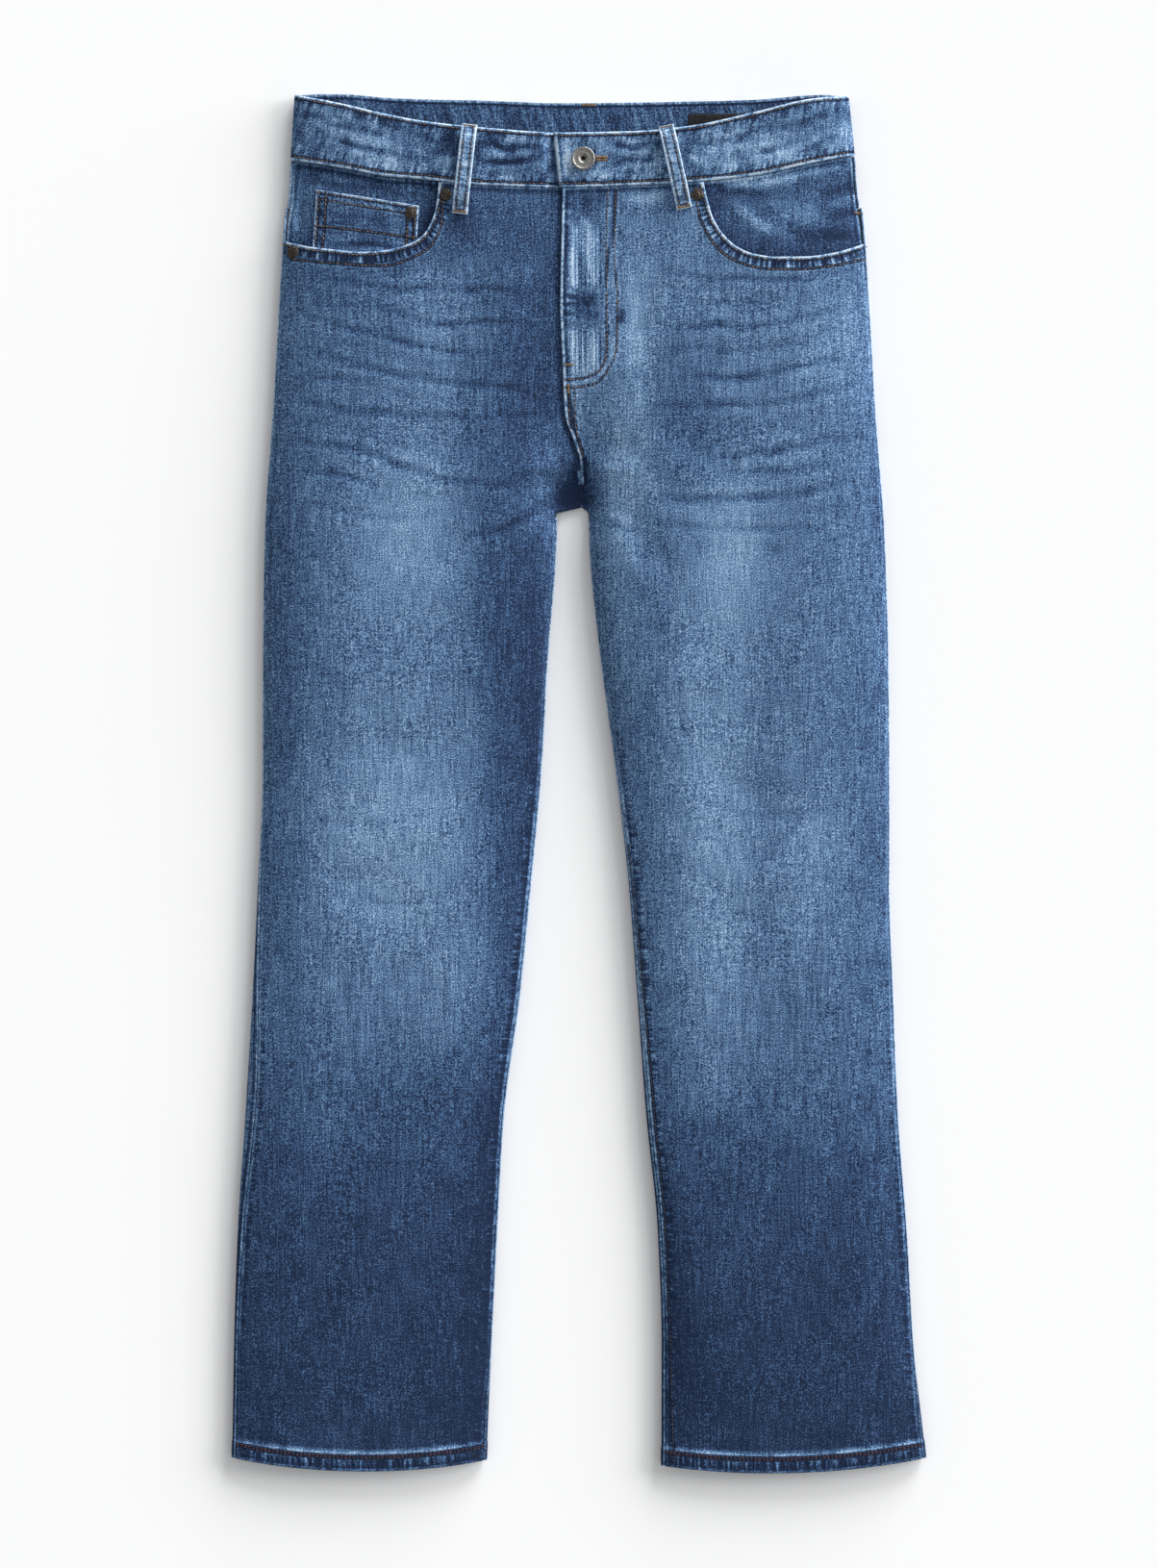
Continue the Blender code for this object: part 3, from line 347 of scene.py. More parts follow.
# Painted shadow on the right front where it goes down under the fly: reach and change of tone
flyShade = {"reach": 15.0, "change": -0.26}
# level and tone of the washed cloth, before any of its marks
baseTones = ((-560, 0.035), (-440, 0.06), (-330, 0.12), (-280, 0.18), (-235, 0.24), (-180, 0.29), (560, 0.30))
# Painted shade of each leg towards its inseam: depth, reach, and how much paler the fold itself is
inseamPaintedShade = {"right": (0.24, 20.0, 0.21), "left": (0.10, 9.0, 0.10)}


def creased(x, y, lines):
    # tone of the creases: a dark trough with a paler ridge on both sides of it
    total = np.zeros(np.broadcast(x, y).shape)
    for number, (points, width, strength) in enumerate(lines):
        line = smoothLine(points, 14)
        line[:, 1] += 2.2 * softNoise(line[:, 0], line[:, 1], 14.0, 14.0, 40 + number)
        near = (y > line[:, 1].min() - 30) & (y < line[:, 1].max() + 30)
        if not near.any():
            continue
        off, share = distanceTo(x[near], y[near], line)
        taper = np.sin(pi * np.clip(share, 0.02, 0.98)) ** 0.6
        uneven = 0.75 + 0.5 * softNoise(x[near], y[near], 16.0, 9.0, 80 + number)
        ridge = bell(np.abs(off) - 2.3 * width, 1.5 * width)
        total[near] += strength * taper * uneven * (0.5 * ridge - bell(off, width))
    return total


def toneOf(x, y):
    # 0 is the darkest indigo of the hems and 1 the palest worn cotton
    tone = curve(baseTones, y + 16.0 * softNoise(x, y, 60.0, 34.0, 5)) + spots(x, y, fadesAndForkShade)
    tone = tone + strokes(x, y, streaks) * (0.8 + 0.4 * softNoise(x, y, 6.0, 12.0, 7))
    # painted shade: each leg darkens towards its inseam, less so at the fold itself
    for wearer, (depth, reach, edgeGain) in inseamPaintedShade.items():
        inward = inwardOf(wearer)
        fromInseam = np.maximum((inseam(y, wearer) - x) * inward, 0.0)
        sameLeg = (1.0 - ease(y, 190.0, 250.0)) * ((x - garment["forkX"]) * inward < 0.0)
        atFold = edgeGain * np.exp(-fromInseam / 6.0) * ease(y, -60.0, 40.0)
        tone = tone - (depth * np.exp(-fromInseam / reach) - atFold) * sameLeg
    return tone - 0.03 + 0.022 * softNoise(x, y, 22.0, 40.0, 6)


def flyShadow(x, y):
    # painted shadow: the right front darkens towards the edge of the fly that lies over it
    fromFly = np.maximum(flyEdge(y) - x, 0.0)
    return flyShade["change"] * np.exp(-fromFly / flyShade["reach"]) * ease(y, 230.0, 290.0)


def fineRelief(x, y):
    # small creases and the slight unevenness of cloth that has been worn and washed
    relief = 0.40 * creased(x, y, whiskers)
    relief += 0.22 * softNoise(x, y, 46.0, 30.0, 11) + 0.10 * softNoise(x, y, 15.0, 11.0, 12)
    return relief * reachOf(x, y, 14.0)


def laidOn(x, y, lift, wearer="left"):
    # points at that lift over the outer face of the garment's top
    x, y = np.broadcast_arrays(np.asarray(x, float), np.asarray(y, float))
    base = np.stack([x, y, topHeight(x, y) - frontDrop(x, y, wearer) + fineRelief(x, y)], -1)
    return base + topNormal(x, y) * np.asarray(lift, float)[..., None]


def rounded(distance, radius):
    # how far a turned edge falls away at a distance from it
    inside = np.clip(radius - distance, 0.0, radius)
    return radius - np.sqrt(np.maximum(radius ** 2 - inside ** 2, 0.0))


# Meshes

fieldDefaults = {"tone": 0.3, "seam": 60.0, "stitch": 60.0, "worn": 0.0, "pucker": 0.0, "along": 0.0}
clothFields = tuple(fieldDefaults)


def gridFaces(rows, columns, start):
    i, j = np.meshgrid(np.arange(rows - 1), np.arange(columns - 1), indexing="ij")
    corner = (start + i * columns + j).ravel()
    return np.stack([corner, corner + 1, corner + columns + 1, corner + columns], -1)


def newObject(name, mesh, materials):
    for material in materials:
        mesh.materials.append(material)
    piece = bpy.data.objects.new(name, mesh)
    bpy.context.scene.collection.objects.link(piece)
    return piece


def makeShell(name, outer, inner, facing, materials, attributes, step=2):
    # closes the wall between two grids of points; the inner one keeps every step-th row and column
    rows, columns = outer.shape[:2]
    inner = inner[::step, ::step]
    innerRows, innerColumns = inner.shape[:2]
    start = rows * columns
    points = np.concatenate([outer.reshape(-1, 3), inner.reshape(-1, 3)]) * mm
    outerFaces = gridFaces(rows, columns, 0)
    innerFaces = gridFaces(innerRows, innerColumns, start)[:, ::-1]
    rim = []
    corners = [(0, 0), (rows - 1, 0), (rows - 1, columns - 1), (0, columns - 1), (0, 0)]
    for (i0, j0), (i1, j1) in zip(corners, corners[1:]):
        count = max(abs(i1 - i0), abs(j1 - j0)) // step
        di, dj = np.sign(i1 - i0), np.sign(j1 - j0)
        for k in range(count):
            places = [(i0 + di * (k * step + s), j0 + dj * (k * step + s)) for s in range(step + 1)]
            above = [int(i * columns + j) for i, j in places]
            below = [int(start + (i // step) * innerColumns + j // step) for i, j in (places[-1], places[0])]
            rim.append(above + below)
    mesh = bpy.data.meshes.new(name)
    mesh.from_pydata(points.tolist(), [], outerFaces.tolist() + innerFaces.tolist() + rim)
    edgeA = outer[1:, :-1] - outer[:-1, :-1]
    edgeB = outer[:-1, 1:] - outer[:-1, :-1]
    if (np.cross(edgeB, edgeA) * facing[:-1, :-1]).sum() < 0.0:
        mesh.flip_normals()
    sides = np.zeros(len(mesh.polygons), np.int32)
    sides[len(outerFaces):len(outerFaces) + len(innerFaces)] = 1 if len(materials) > 1 else 0
    mesh.polygons.foreach_set("material_index", sides)
    for label in clothFields:
        values = np.broadcast_to(attributes.get(label, fieldDefaults[label]), (rows, columns))
        flat = np.concatenate([values.ravel(), values[::step, ::step].ravel()]).astype(np.float32)
        mesh.attributes.new(label, "FLOAT", "POINT").data.foreach_set("value", flat)
    mesh.shade_smooth()
    mesh.set_sharp_from_angle(angle=radians(60))
    return newObject(name, mesh, materials)


def turnedMesh(name, profile, steps, at, normal, material):
    # turns a profile of radius and height, closed on its axis at both ends
    turn = np.array(Vector((0, 0, 1)).rotation_difference(Vector(normal)).to_matrix())
    points, rings = [], []
    for radius, height in profile:
        count = steps if radius > 0 else 1
        angle = 2 * pi * np.arange(count) / steps
        ring = np.stack([radius * np.cos(angle), radius * np.sin(angle), np.full(count, height)], -1)
        rings.append(list(range(len(points), len(points) + count)))
        points += (ring @ turn.T + np.asarray(at)).tolist()
    faces = []
    for low, high in zip(rings, rings[1:]):
        for k in range(steps):
            pairs = [(low, k), (low, k + 1), (high, k + 1), (high, k)]
            corners = [ring[place % len(ring)] for ring, place in pairs]
            faces.append(list(dict.fromkeys(corners)))
    mesh = bpy.data.meshes.new(name)
    mesh.from_pydata((np.array(points) * mm).tolist(), [], faces)
    mesh.shade_smooth()
    mesh.set_sharp_from_angle(angle=radians(48))
    return newObject(name, mesh, [material])


# Shaders

def addNode(tree, kind, settings=None, **inputs):
    made = tree.nodes.new(kind)
    for key, value in (settings or {}).items():
        setattr(made, key, value)
    for key, value in inputs.items():
        place = int(key[1:]) if key[0] == "i" and key[1:].isdigit() else key.replace("_", " ")
        if isinstance(value, bpy.types.NodeSocket):
            tree.links.new(value, made.inputs[place])
        else:
            made.inputs[place].default_value = value
    return made


def calc(tree, operation, first, second=0.0, third=0.0):
    return addNode(tree, "ShaderNodeMath", {"operation": operation}, i0=first, i1=second, i2=third).outputs[0]


def product(tree, first, *others):
    for other in others:
        first = calc(tree, "MULTIPLY", first, other)
    return first


def addUp(tree, total, *pairs):
    # a total with each value added to it by its own gain
    for value, gain in pairs:
        total = calc(tree, "MULTIPLY_ADD", value, gain, total)
    return total


def between(tree, share, low, high):
    # a colour between two
    made = addNode(tree, "ShaderNodeMix", {"data_type": "RGBA"}, i0=share, i6=low, i7=high)
    return made.outputs[2]


def spread(tree, value, low, high, start, end):
    # maps low to start and high to end, smoothly, and holds them outside
    made = addNode(tree, "ShaderNodeMapRange", {"interpolation_type": "SMOOTHSTEP"}, Value=value,
                   From_Min=low, From_Max=high, To_Min=start, To_Max=end)
    return made.outputs["Result"]


def bandOf(tree, value, start, full, fading, end):
    # the same as within, in a shader
    rising, falling = spread(tree, value, start, full, 0.0, 1.0), spread(tree, value, fading, end, 1.0, 0.0)
    return product(tree, rising, falling)


def noiseOf(tree, place, scale, detail):
    # noise about zero, in cells set by its scale along x, y and z
    moved = addNode(tree, "ShaderNodeVectorMath", {"operation": "MULTIPLY"}, i0=place, i1=scale).outputs[0]
    made = addNode(tree, "ShaderNodeTexNoise", None, Vector=moved, Scale=1.0, Detail=detail, Roughness=0.5)
    return calc(tree, "SUBTRACT", made.outputs["Factor" if "Factor" in made.outputs else "Fac"], 0.5)


def newGroup(name, inputs, outputs):
    tree = bpy.data.node_groups.new(name, "ShaderNodeTree")
    for direction, sockets in (("INPUT", inputs), ("OUTPUT", outputs)):
        for label, kind, value in sockets:
            socket = tree.interface.new_socket(label, in_out=direction, socket_type="NodeSocket" + kind)
            if value is not None:
                socket.default_value = value
    return tree, tree.nodes.new("NodeGroupInput"), tree.nodes.new("NodeGroupOutput")


def placeInMillimetres(tree):
    spot = addNode(tree, "ShaderNodeTexCoord").outputs["Object"]
    return addNode(tree, "ShaderNodeVectorMath", {"operation": "SCALE"}, i0=spot, Scale=1000.0).outputs[0]


# tone, and the colour of the washed indigo there
indigo = (
    (0.0, (0.0045, 0.0145, 0.045)), (0.05, (0.0125, 0.0325, 0.0860)), (0.106, (0.0197, 0.0448, 0.113)),
    (0.281, (0.0490, 0.105, 0.220)), (0.4125, (0.0780, 0.165, 0.317)), (0.55, (0.136, 0.240, 0.377)),
    (0.644, (0.176, 0.298, 0.478)), (0.819, (0.278, 0.436, 0.655)), (1.0, (0.505, 0.620, 0.745)),
)
wash = {
    "slub": 0.72,
    "cross": 0.36,
    "grain": 2.05,
    "mottle": 0.16,
    "ridgeGain": 0.74,
    "grooveLoss": 0.38,
    "stitchLoss": 0.34,
    "haloGain": 0.16,
    "puckerGain": 1.5,
}
# The noises of the cloth: cells to a millimetre along x, y and z, and detail
threads = {
    "slub": ((0.95, 0.045, 0.3), 2.0),
    "cross": ((0.08, 0.8, 0.3), 2.0),
    "grain": ((0.90, 1.05, 0.8), 2.0),
    "mottle": ((0.05, 0.035, 0.05), 3.0),
    "rope": ((0.22, 0.22, 0.22), 2.0),
}


def makeStonewash():
    # washed denim: Seam and Stitch are distances in mm to the nearest turned edge and row of stitches, Worn
    # and Pucker how far that edge is worn pale and drawn in by its stitches, and Along the place along it
    tree, given, result = newGroup(
        "stonewash", (("Tone", "Float", 0.3), ("Seam", "Float", 50.0), ("Stitch", "Float", 50.0),
                      ("Worn", "Float", 0.0), ("Pucker", "Float", 0.0), ("Along", "Float", 0.0)),
        (("Color", "Color", None), ("Height", "Float", None)))
    place = placeInMillimetres(tree)
    slub, cross, grain, mottle, rope = (noiseOf(tree, place, *settings) for settings in threads.values())
    base, seam, stitch, worn, pucker, along = (given.outputs[label] for label in (
        "Tone", "Seam", "Stitch", "Worn", "Pucker", "Along"))
    fine = addUp(tree, 0.0, (slub, wash["slub"]), (cross, wash["cross"]), (grain, wash["grain"]))
    tone = addUp(tree, base, (fine, spread(tree, base, 0.0, 0.45, 0.80, 1.05)), (mottle, wash["mottle"]))
    uneven = spread(tree, rope, -0.17, 0.13, 0.30, 1.0)
    ridge = product(tree, spread(tree, seam, 1.3, 3.0, 1.0, 0.0), worn, uneven)
    groove = product(tree, bandOf(tree, seam, 1.9, 3.0, 3.0, 7.0), worn)
    sunken = spread(tree, stitch, 0.6, 1.6, 1.0, 0.0)
    halo = product(tree, bandOf(tree, stitch, 1.1, 1.8, 1.9, 3.4), uneven)
    line = addNode(tree, "ShaderNodeCombineXYZ", None, X=along, Y=product(tree, seam, 0.10)).outputs[0]
    bars = product(tree, noiseOf(tree, line, (0.30, 0.30, 0.30), 1.0), pucker)
    tone = addUp(tree, tone, (ridge, wash["ridgeGain"]), (groove, -wash["grooveLoss"]),
                 (sunken, -wash["stitchLoss"]), (halo, wash["haloGain"]), (bars, wash["puckerGain"]))
    ramp = addNode(tree, "ShaderNodeValToRGB", None, Fac=tone)
    ramp.color_ramp.elements[0].position = indigo[0][0]
    ramp.color_ramp.elements[1].position = indigo[-1][0]
    for position, colour in indigo[1:-1]:
        ramp.color_ramp.elements.new(position)
    for element, (position, colour) in zip(ramp.color_ramp.elements, indigo):
        element.color = (*colour, 1.0)
    height = addUp(tree, 0.0, (grain, 0.45), (slub, 0.25), (bars, 2.2), (ridge, 0.25), (sunken, -0.35))
    tree.links.new(ramp.outputs["Color"], result.inputs["Color"])
    tree.links.new(height, result.inputs["Height"])
    return tree


def makeWeave():
    # a plain close weave in two colours, for what is not washed indigo
    tree, given, result = newGroup(
        "weave", (("Low", "Color", (0, 0, 0, 1)), ("High", "Color", (1, 1, 1, 1)), ("Size", "Float", 1.0)),
        (("Color", "Color", None), ("Height", "Float", None)))
    place = placeInMillimetres(tree)
    place = addNode(tree, "ShaderNodeVectorMath", {"operation": "SCALE"}, i0=place,
                    Scale=given.outputs["Size"]).outputs[0]
    along = noiseOf(tree, place, (1.2, 0.12, 0.6), 2.0)
    across = noiseOf(tree, place, (0.12, 1.2, 0.6), 2.0)
    both = calc(tree, "ADD", along, across)
    share = spread(tree, both, -0.28, 0.28, 0.0, 1.0)
    colour = between(tree, share, given.outputs["Low"], given.outputs["High"])
    tree.links.new(colour, result.inputs["Color"])
    tree.links.new(calc(tree, "MULTIPLY", both, 0.5), result.inputs["Height"])
    return tree


def newMaterial(name, settings):
    material = bpy.data.materials.new(name)
    material.use_nodes = True
    shader = material.node_tree.nodes["Principled BSDF"]
    for label, value in settings.items():
        shader.inputs[label].default_value = value
    return material, material.node_tree, shader


def useGroup(tree, group, shader, relief, **inputs):
    made = addNode(tree, "ShaderNodeGroup", {"node_tree": group}, **inputs)
    tree.links.new(made.outputs["Color"], shader.inputs["Base Color"])
    bump = addNode(tree, "ShaderNodeBump", None, Height=made.outputs["Height"], Strength=1.0,
                   Distance=relief * mm)
    tree.links.new(bump.outputs["Normal"], shader.inputs["Normal"])


def attributeOf(tree, label):
    return addNode(tree, "ShaderNodeAttribute", {"attribute_name": label}).outputs["Fac"]


clothFinish = {"Roughness": 0.9, "Specular IOR Level": 0.18, "Sheen Weight": 0.06, "Sheen Roughness": 0.5}
stonewash, weave = makeStonewash(), makeWeave()


def indigoCloth(name):
    material, tree, shader = newMaterial(name, clothFinish)
    fields = {label.capitalize(): attributeOf(tree, label) for label in clothFields}
    useGroup(tree, stonewash, shader, 0.55, **fields)
    return material


def wovenCloth(name, low, high, size=1.0):
    material, tree, shader = newMaterial(name, clothFinish)
    useGroup(tree, weave, shader, 0.3, Low=(*low, 1.0), High=(*high, 1.0), Size=size)
    return material


def metalOf(name, dark, bright, roughness):
    # worn metal: brighter where a soft noise is high
    material, tree, shader = newMaterial(name, {"Metallic": 1.0})
    place = placeInMillimetres(tree)
    worn = spread(tree, noiseOf(tree, place, (0.8, 0.8, 0.8), 4.0), -0.2, 0.2, 0.0, 1.0)
    tree.links.new(between(tree, worn, (*dark, 1.0), (*bright, 1.0)), shader.inputs["Base Color"])
    tree.links.new(spread(tree, worn, 0.0, 1.0, roughness + 0.12, roughness), shader.inputs["Roughness"])
    return material


def threadOf(name, low, high):
    material, tree, shader = newMaterial(name, {"Roughness": 0.6, "Specular IOR Level": 0.35})
    colour = between(tree, attributeOf(tree, "threadTone"), (*low, 1.0), (*high, 1.0))
    tree.links.new(colour, shader.inputs["Base Color"])
    return material


denim = indigoCloth("stonewashed_denim")
pocketDenim = indigoCloth("pocket_facing_denim")
reverseDenim = wovenCloth("denim_reverse", (0.10, 0.15, 0.21), (0.30, 0.36, 0.42))
labelCloth = wovenCloth("black_label_cloth", (0.006, 0.006, 0.007), (0.022, 0.022, 0.025))
zipTape = wovenCloth("zip_tape", (0.012, 0.02, 0.04), (0.03, 0.045, 0.08))
nickel = metalOf("aged_nickel", (0.16, 0.157, 0.15), (0.36, 0.355, 0.345), 0.46)
bronze = metalOf("dark_bronze", (0.018, 0.016, 0.015), (0.11, 0.09, 0.075), 0.42)
brass = metalOf("zip_brass", (0.25, 0.17, 0.07), (0.62, 0.47, 0.22), 0.35)
seamThread = threadOf("seam_thread", (0.018, 0.014, 0.014), (0.19, 0.125, 0.07))
legThread = threadOf("leg_thread", (0.006, 0.008, 0.016), (0.05, 0.045, 0.045))
hemThread = threadOf("hem_thread", (0.016, 0.009, 0.012), (0.085, 0.035, 0.032))
tackThread = threadOf("bartack_thread", (0.06, 0.038, 0.022), (0.25, 0.165, 0.09))
print("materials ready")


# Pieces

# rows of points that a thread follows
sewing = {"legs": [], "hems": [], "front": [], "band": [], "back": [], "tacks": []}


def show(piece, node):
    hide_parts(node)
    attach(piece, "root")
    return piece


def spaced(points, pitch):
    # the same line with points at an even pitch
    points = np.asarray(points, float)
    reach = np.concatenate(([0.0], np.cumsum(np.linalg.norm(np.diff(points, axis=0), axis=1))))
    at = np.linspace(0.0, reach[-1], max(int(reach[-1] / pitch), 2))
    return np.stack([np.interp(at, reach, points[:, k]) for k in range(points.shape[1])], -1)


def offsetLine(points, distance):
    # a line moved to its left
    points = np.asarray(points, float)
    run = np.gradient(points, axis=0)
    run /= np.linalg.norm(run, axis=1, keepdims=True)
    return points + np.stack([-run[:, 1], run[:, 0]], -1) * distance


def insetOf(y, wearer, edge):
    return curve(insetRows, y, {"rightout": 1, "rightin": 2, "leftin": 3, "leftout": 4}[wearer + edge])


def flyLap(y):
    return garment["flyLap"] * ease(y, 293.0, 324.0)


def frontColumns(y, wearer):
    # the 17 columns of a front panel's mesh at some levels, from its outseam to its inner edge
    y = np.asarray(y, float)
    inward = inwardOf(wearer)
    outer = side(y, wearer) + inward * insetOf(y, wearer, "out")
    start = outer + inward * 9.0
    below = y < garment["forkLevel"]
    fold = inseam(y, wearer)
    lap = flyLap(y) if wearer == "right" else 0.0 * y
    inner = np.where(below, fold - inward * insetOf(y, wearer, "in"),
                     flyEdge(y) + inward * (lap - 0.5 * garment["gap"]))
    aboveFork = ease(y, 240.0, 262.0)
    stop = np.where(below, inner - inward * 9.0,
                    mix(fold - inward * 10.5, inner - inward * (lap + 9.0), aboveFork))
    last = np.where(below, inner - inward * 1.5,
                    mix(fold + inward * 0.8, inner - inward * (lap + 1.5), aboveFork))
    even = [mix(start, stop, 0.5 - 0.5 * np.cos(pi * k / 12.0)) for k in range(1, 12)]
    byPocket = [x for x, _ in pocketMouth[wearer][1:]] + list(flyColumns[wearer])
    share = ease(y, 320.0, 420.0)
    middle = [mix(a, b, share) for a, b in zip(even, byPocket)]
    return np.stack([outer, outer + inward * 2.5, start] + middle + [stop, last, inner], -1)


def hemLine(x, wearer, sagShare=1.0):
    outerY, innerY, sag = hemEdge[wearer]
    share = np.clip((x - side(-540.0, wearer)) / (inseam(-540.0, wearer) - side(-540.0, wearer)), 0, 1)
    return mix(outerY, innerY, share) - 4.0 * sag * sagShare * share * (1.0 - share)


def mouthLevel(x, wearer):
    mouth = pocketMouth[wearer]
    seam = curve(waistRows, x) - garment["gap"]
    return np.where(np.abs(x) >= abs(mouth[-1][0]), np.minimum(curve(mouth, x), seam), seam)


mouthLines = {wearer: smoothLine(points, 40) for wearer, points in pocketMouth.items()}
# The outer row of stitches round each pocket mouth
pocketRows = {
    "right": ((-109.3, 474), (-109.3, 452.8), (-116.3, 431.6), (-129.7, 421.2), (-156.3, 413),
              (-196.3, 415.3), (-231, 419)),
    "left": ((93.5, 474), (96, 454.3), (101.6, 440.7), (113, 425), (129.9, 415), (152.5, 410.4),
             (174.8, 410.4), (203.3, 413.5), (229.5, 419.3)),
}
flyRowsOfStitches = (
    ((23.1, 474), (21.9, 424.3), (22.3, 372.7), (21.9, 341.1), (16.2, 329.6), (3.1, 323.4), (-10.8, 322.2)),
    ((29.5, 474), (28.3, 424.3), (30.8, 386.5), (30, 348), (23.9, 331.1), (13.9, 319.6), (0.8, 316.5),
     (-10.8, 316.5)),
    ((-7.7, 315.7), (-7.9, 300), (-6.4, 284)), ((-3.9, 315.7), (-3.9, 300), (-2.2, 284), (3.0, 262)),
)
# level, and how far the row of stitches along the left inseam lies from it: it goes under the leg higher up
legStitches = ((-540, 6.3), (-374, 3.0), (-260, 3.4), (-150, 2.0), (-50, 0.7))
frontCut = {
    "hemRows": (10.7, 12.3),  # the rows of stitches over the fold of the hem
    "hemEdge": 14.9,  # where the edge of the turning shows through
    "mouthRow": 2.6,  # the inner row of stitches from the pocket mouth
    "hemRises": (0, 0.15, 0.4, 0.9, 2, 4, 6, 8, 10, 11.5, 13, 14.5, 16),
    "hemBlend": -498.0,  # up to here the levels of the mesh straighten from the hem's sag
    "legTop": 192.0,
    "legPitch": 2.7,
    "hipPitch": 1.9,
    "turning": 0.55,  # radius of the turned edges
    "mouthFrom": 395.0,  # the pocket mouths lie over this level
    "flyFrom": 250.0,  # and the fly over this one
}


def frontStitches(wearer):
    # rows of stitches on one front panel, as lines of x and y
    inward = inwardOf(wearer)
    hemColumns = frontColumns(np.array([-527.0]), wearer)[0]
    hemX = np.linspace(hemColumns[0] + inward * 1.0, hemColumns[-1] - inward * 1.0, 70)
    rows = {"hems": [np.stack([hemX, hemLine(hemX, wearer) + rise], -1) for rise in frontCut["hemRows"]]}
    rows["front"] = [offsetLine(mouthLines[wearer], -frontCut["mouthRow"] * inward),
                     smoothLine(pocketRows[wearer], 60)]
    if wearer == "left":
        levels = np.linspace(-536.0, -50.0, 100)
        seamX = inseam(levels, wearer) - inward * insetOf(levels, wearer, "in")
        rows["legs"] = [np.stack([seamX - inward * curve(legStitches, levels), levels], -1)]
        rows["front"] += [smoothLine(points, 50) for points in flyRowsOfStitches]
    return rows


def nearestRow(x, y, rows):
    best = np.full(x.shape, 60.0)
    for row in rows:
        line = row[:, :2]
        low, high = line.min(0) - 14, line.max(0) + 14
        near = (x > low[0]) & (x < high[0]) & (y > low[1]) & (y < high[1])
        if near.any():
            best[near] = np.minimum(best[near], np.abs(distanceTo(x[near], y[near], line)[0]))
    return best


def seamFields(shape, seams):
    # the fields of the nearest edge at each point
    nearest = np.stack([np.broadcast_to(row[0], shape) for row in seams]).argmin(0)[None]

    def chosen(column):
        values = np.stack([np.broadcast_to(row[column], shape) for row in seams])
        return np.take_along_axis(values, nearest, 0)[0]
    seam, along, worn, pucker, end = (chosen(column) for column in range(5))
    pucker = pucker * within(seam, 1.2, 3.0, end - 2.5, end)
    return {"seam": seam, "along": along, "worn": worn, "pucker": pucker}


def frontLift(x, y, wearer):
    # how far the outer face of a front panel stands over the plain form
    rise = y - hemLine(x, wearer)
    lift = garment["hemStand"] * hemShare(rise)
    lift = lift + 0.16 * np.sin(2 * pi * (x + 1.1 * rise) / 8.0) * (1.0 - ease(rise, 11.0, 13.0))
    top = y > frontCut["mouthFrom"]
    if top.any():
        off = distanceTo(x[top], y[top], mouthLines[wearer])[0]
        lift[top] += 0.35 * (1.0 - ease(np.abs(off), 9.0, 11.5))
    fromSeam = np.abs(x - side(y, wearer)) - insetOf(y, wearer, "out")
    fromInner = np.abs(x - inseam(y, wearer)) - insetOf(y, wearer, "in")
    pucker = 0.30 * softNoise(x * 0.4, y, 3.0, 6.0, 21) * bell(fromSeam - 4.0, 3.0)
    pucker += 0.34 * softNoise(x * 0.4, y, 3.0, 5.0, 22) * bell(fromInner - 6.0, 4.0) * (y < 205.0)
    lift = lift + pucker
    if wearer == "left":
        fromFly = x - flyEdge(y)
        lift = lift + 0.35 * (1.0 - ease(fromFly, 6.0, 8.0)) * (y > frontCut["flyFrom"])
    return lift


def frontGrid(wearer):
    # x and y of a front panel's mesh: rows from the hem to the band, over its 17 columns
    parts = [0.0, 0.06, 0.16, 0.28, 0.4, 0.7, 1.0, 1.33, 1.66] + [2.0 + k / 8.0 for k in range(12 * 8)]
    parts = np.array(parts + [14.0, 14.3, 14.7, 15.0, 15.4, 15.7, 15.9, 16.0])
    whole = np.arange(17)

    def atParts(levels):
        return np.stack([np.interp(parts, whole, row) for row in frontColumns(levels, wearer)])
    low, legTop = frontCut["hemBlend"], frontCut["legTop"]
    hipLow, hipTop = garment["forkLevel"], garment["hipLevel"]
    rises = np.array(frontCut["hemRises"], float)
    xHem = atParts(-540.0 + rises)
    yHem = hemLine(xHem, wearer) + rises[:, None]
    share = np.linspace(0, 1, 15)[1:, None]
    xBlend = mix(xHem[-1:], atParts(np.array([low])), share)
    yBlend = mix(yHem[-1:], low, share)
    legs = np.linspace(low, legTop, int((legTop - low) / frontCut["legPitch"]))[1:]
    fork = np.linspace(legTop, garment["forkOpen"], 12)[1:]
    hips = np.linspace(hipLow, hipTop, int((hipTop - hipLow) / frontCut["hipPitch"]))
    levels = np.concatenate([legs, fork, hips])
    xMain = atParts(levels)
    yMain = np.repeat(levels[:, None], len(parts), 1)
    top = frontColumns(np.array([470.0]), wearer)[0]
    top[:3] = frontColumns(np.array([pocketMouth[wearer][0][1]]), wearer)[0][:3]
    top = np.interp(parts, whole, top)
    share = np.concatenate([np.linspace(0, 0.96, 36)[1:], [0.972, 0.984, 0.992, 0.997, 1.0]])[:, None]
    xTop = mix(xMain[-1:], top[None], share)
    yTop = mix(hipTop, mouthLevel(top, wearer)[None], share)
    x = np.concatenate([xHem, xBlend, xMain, xTop])
    y = np.concatenate([yHem, yBlend, yMain, yTop])
    if len(x) % 2 == 0:
        x, y = np.delete(x, 30, 0), np.delete(y, 30, 0)
    return x, y


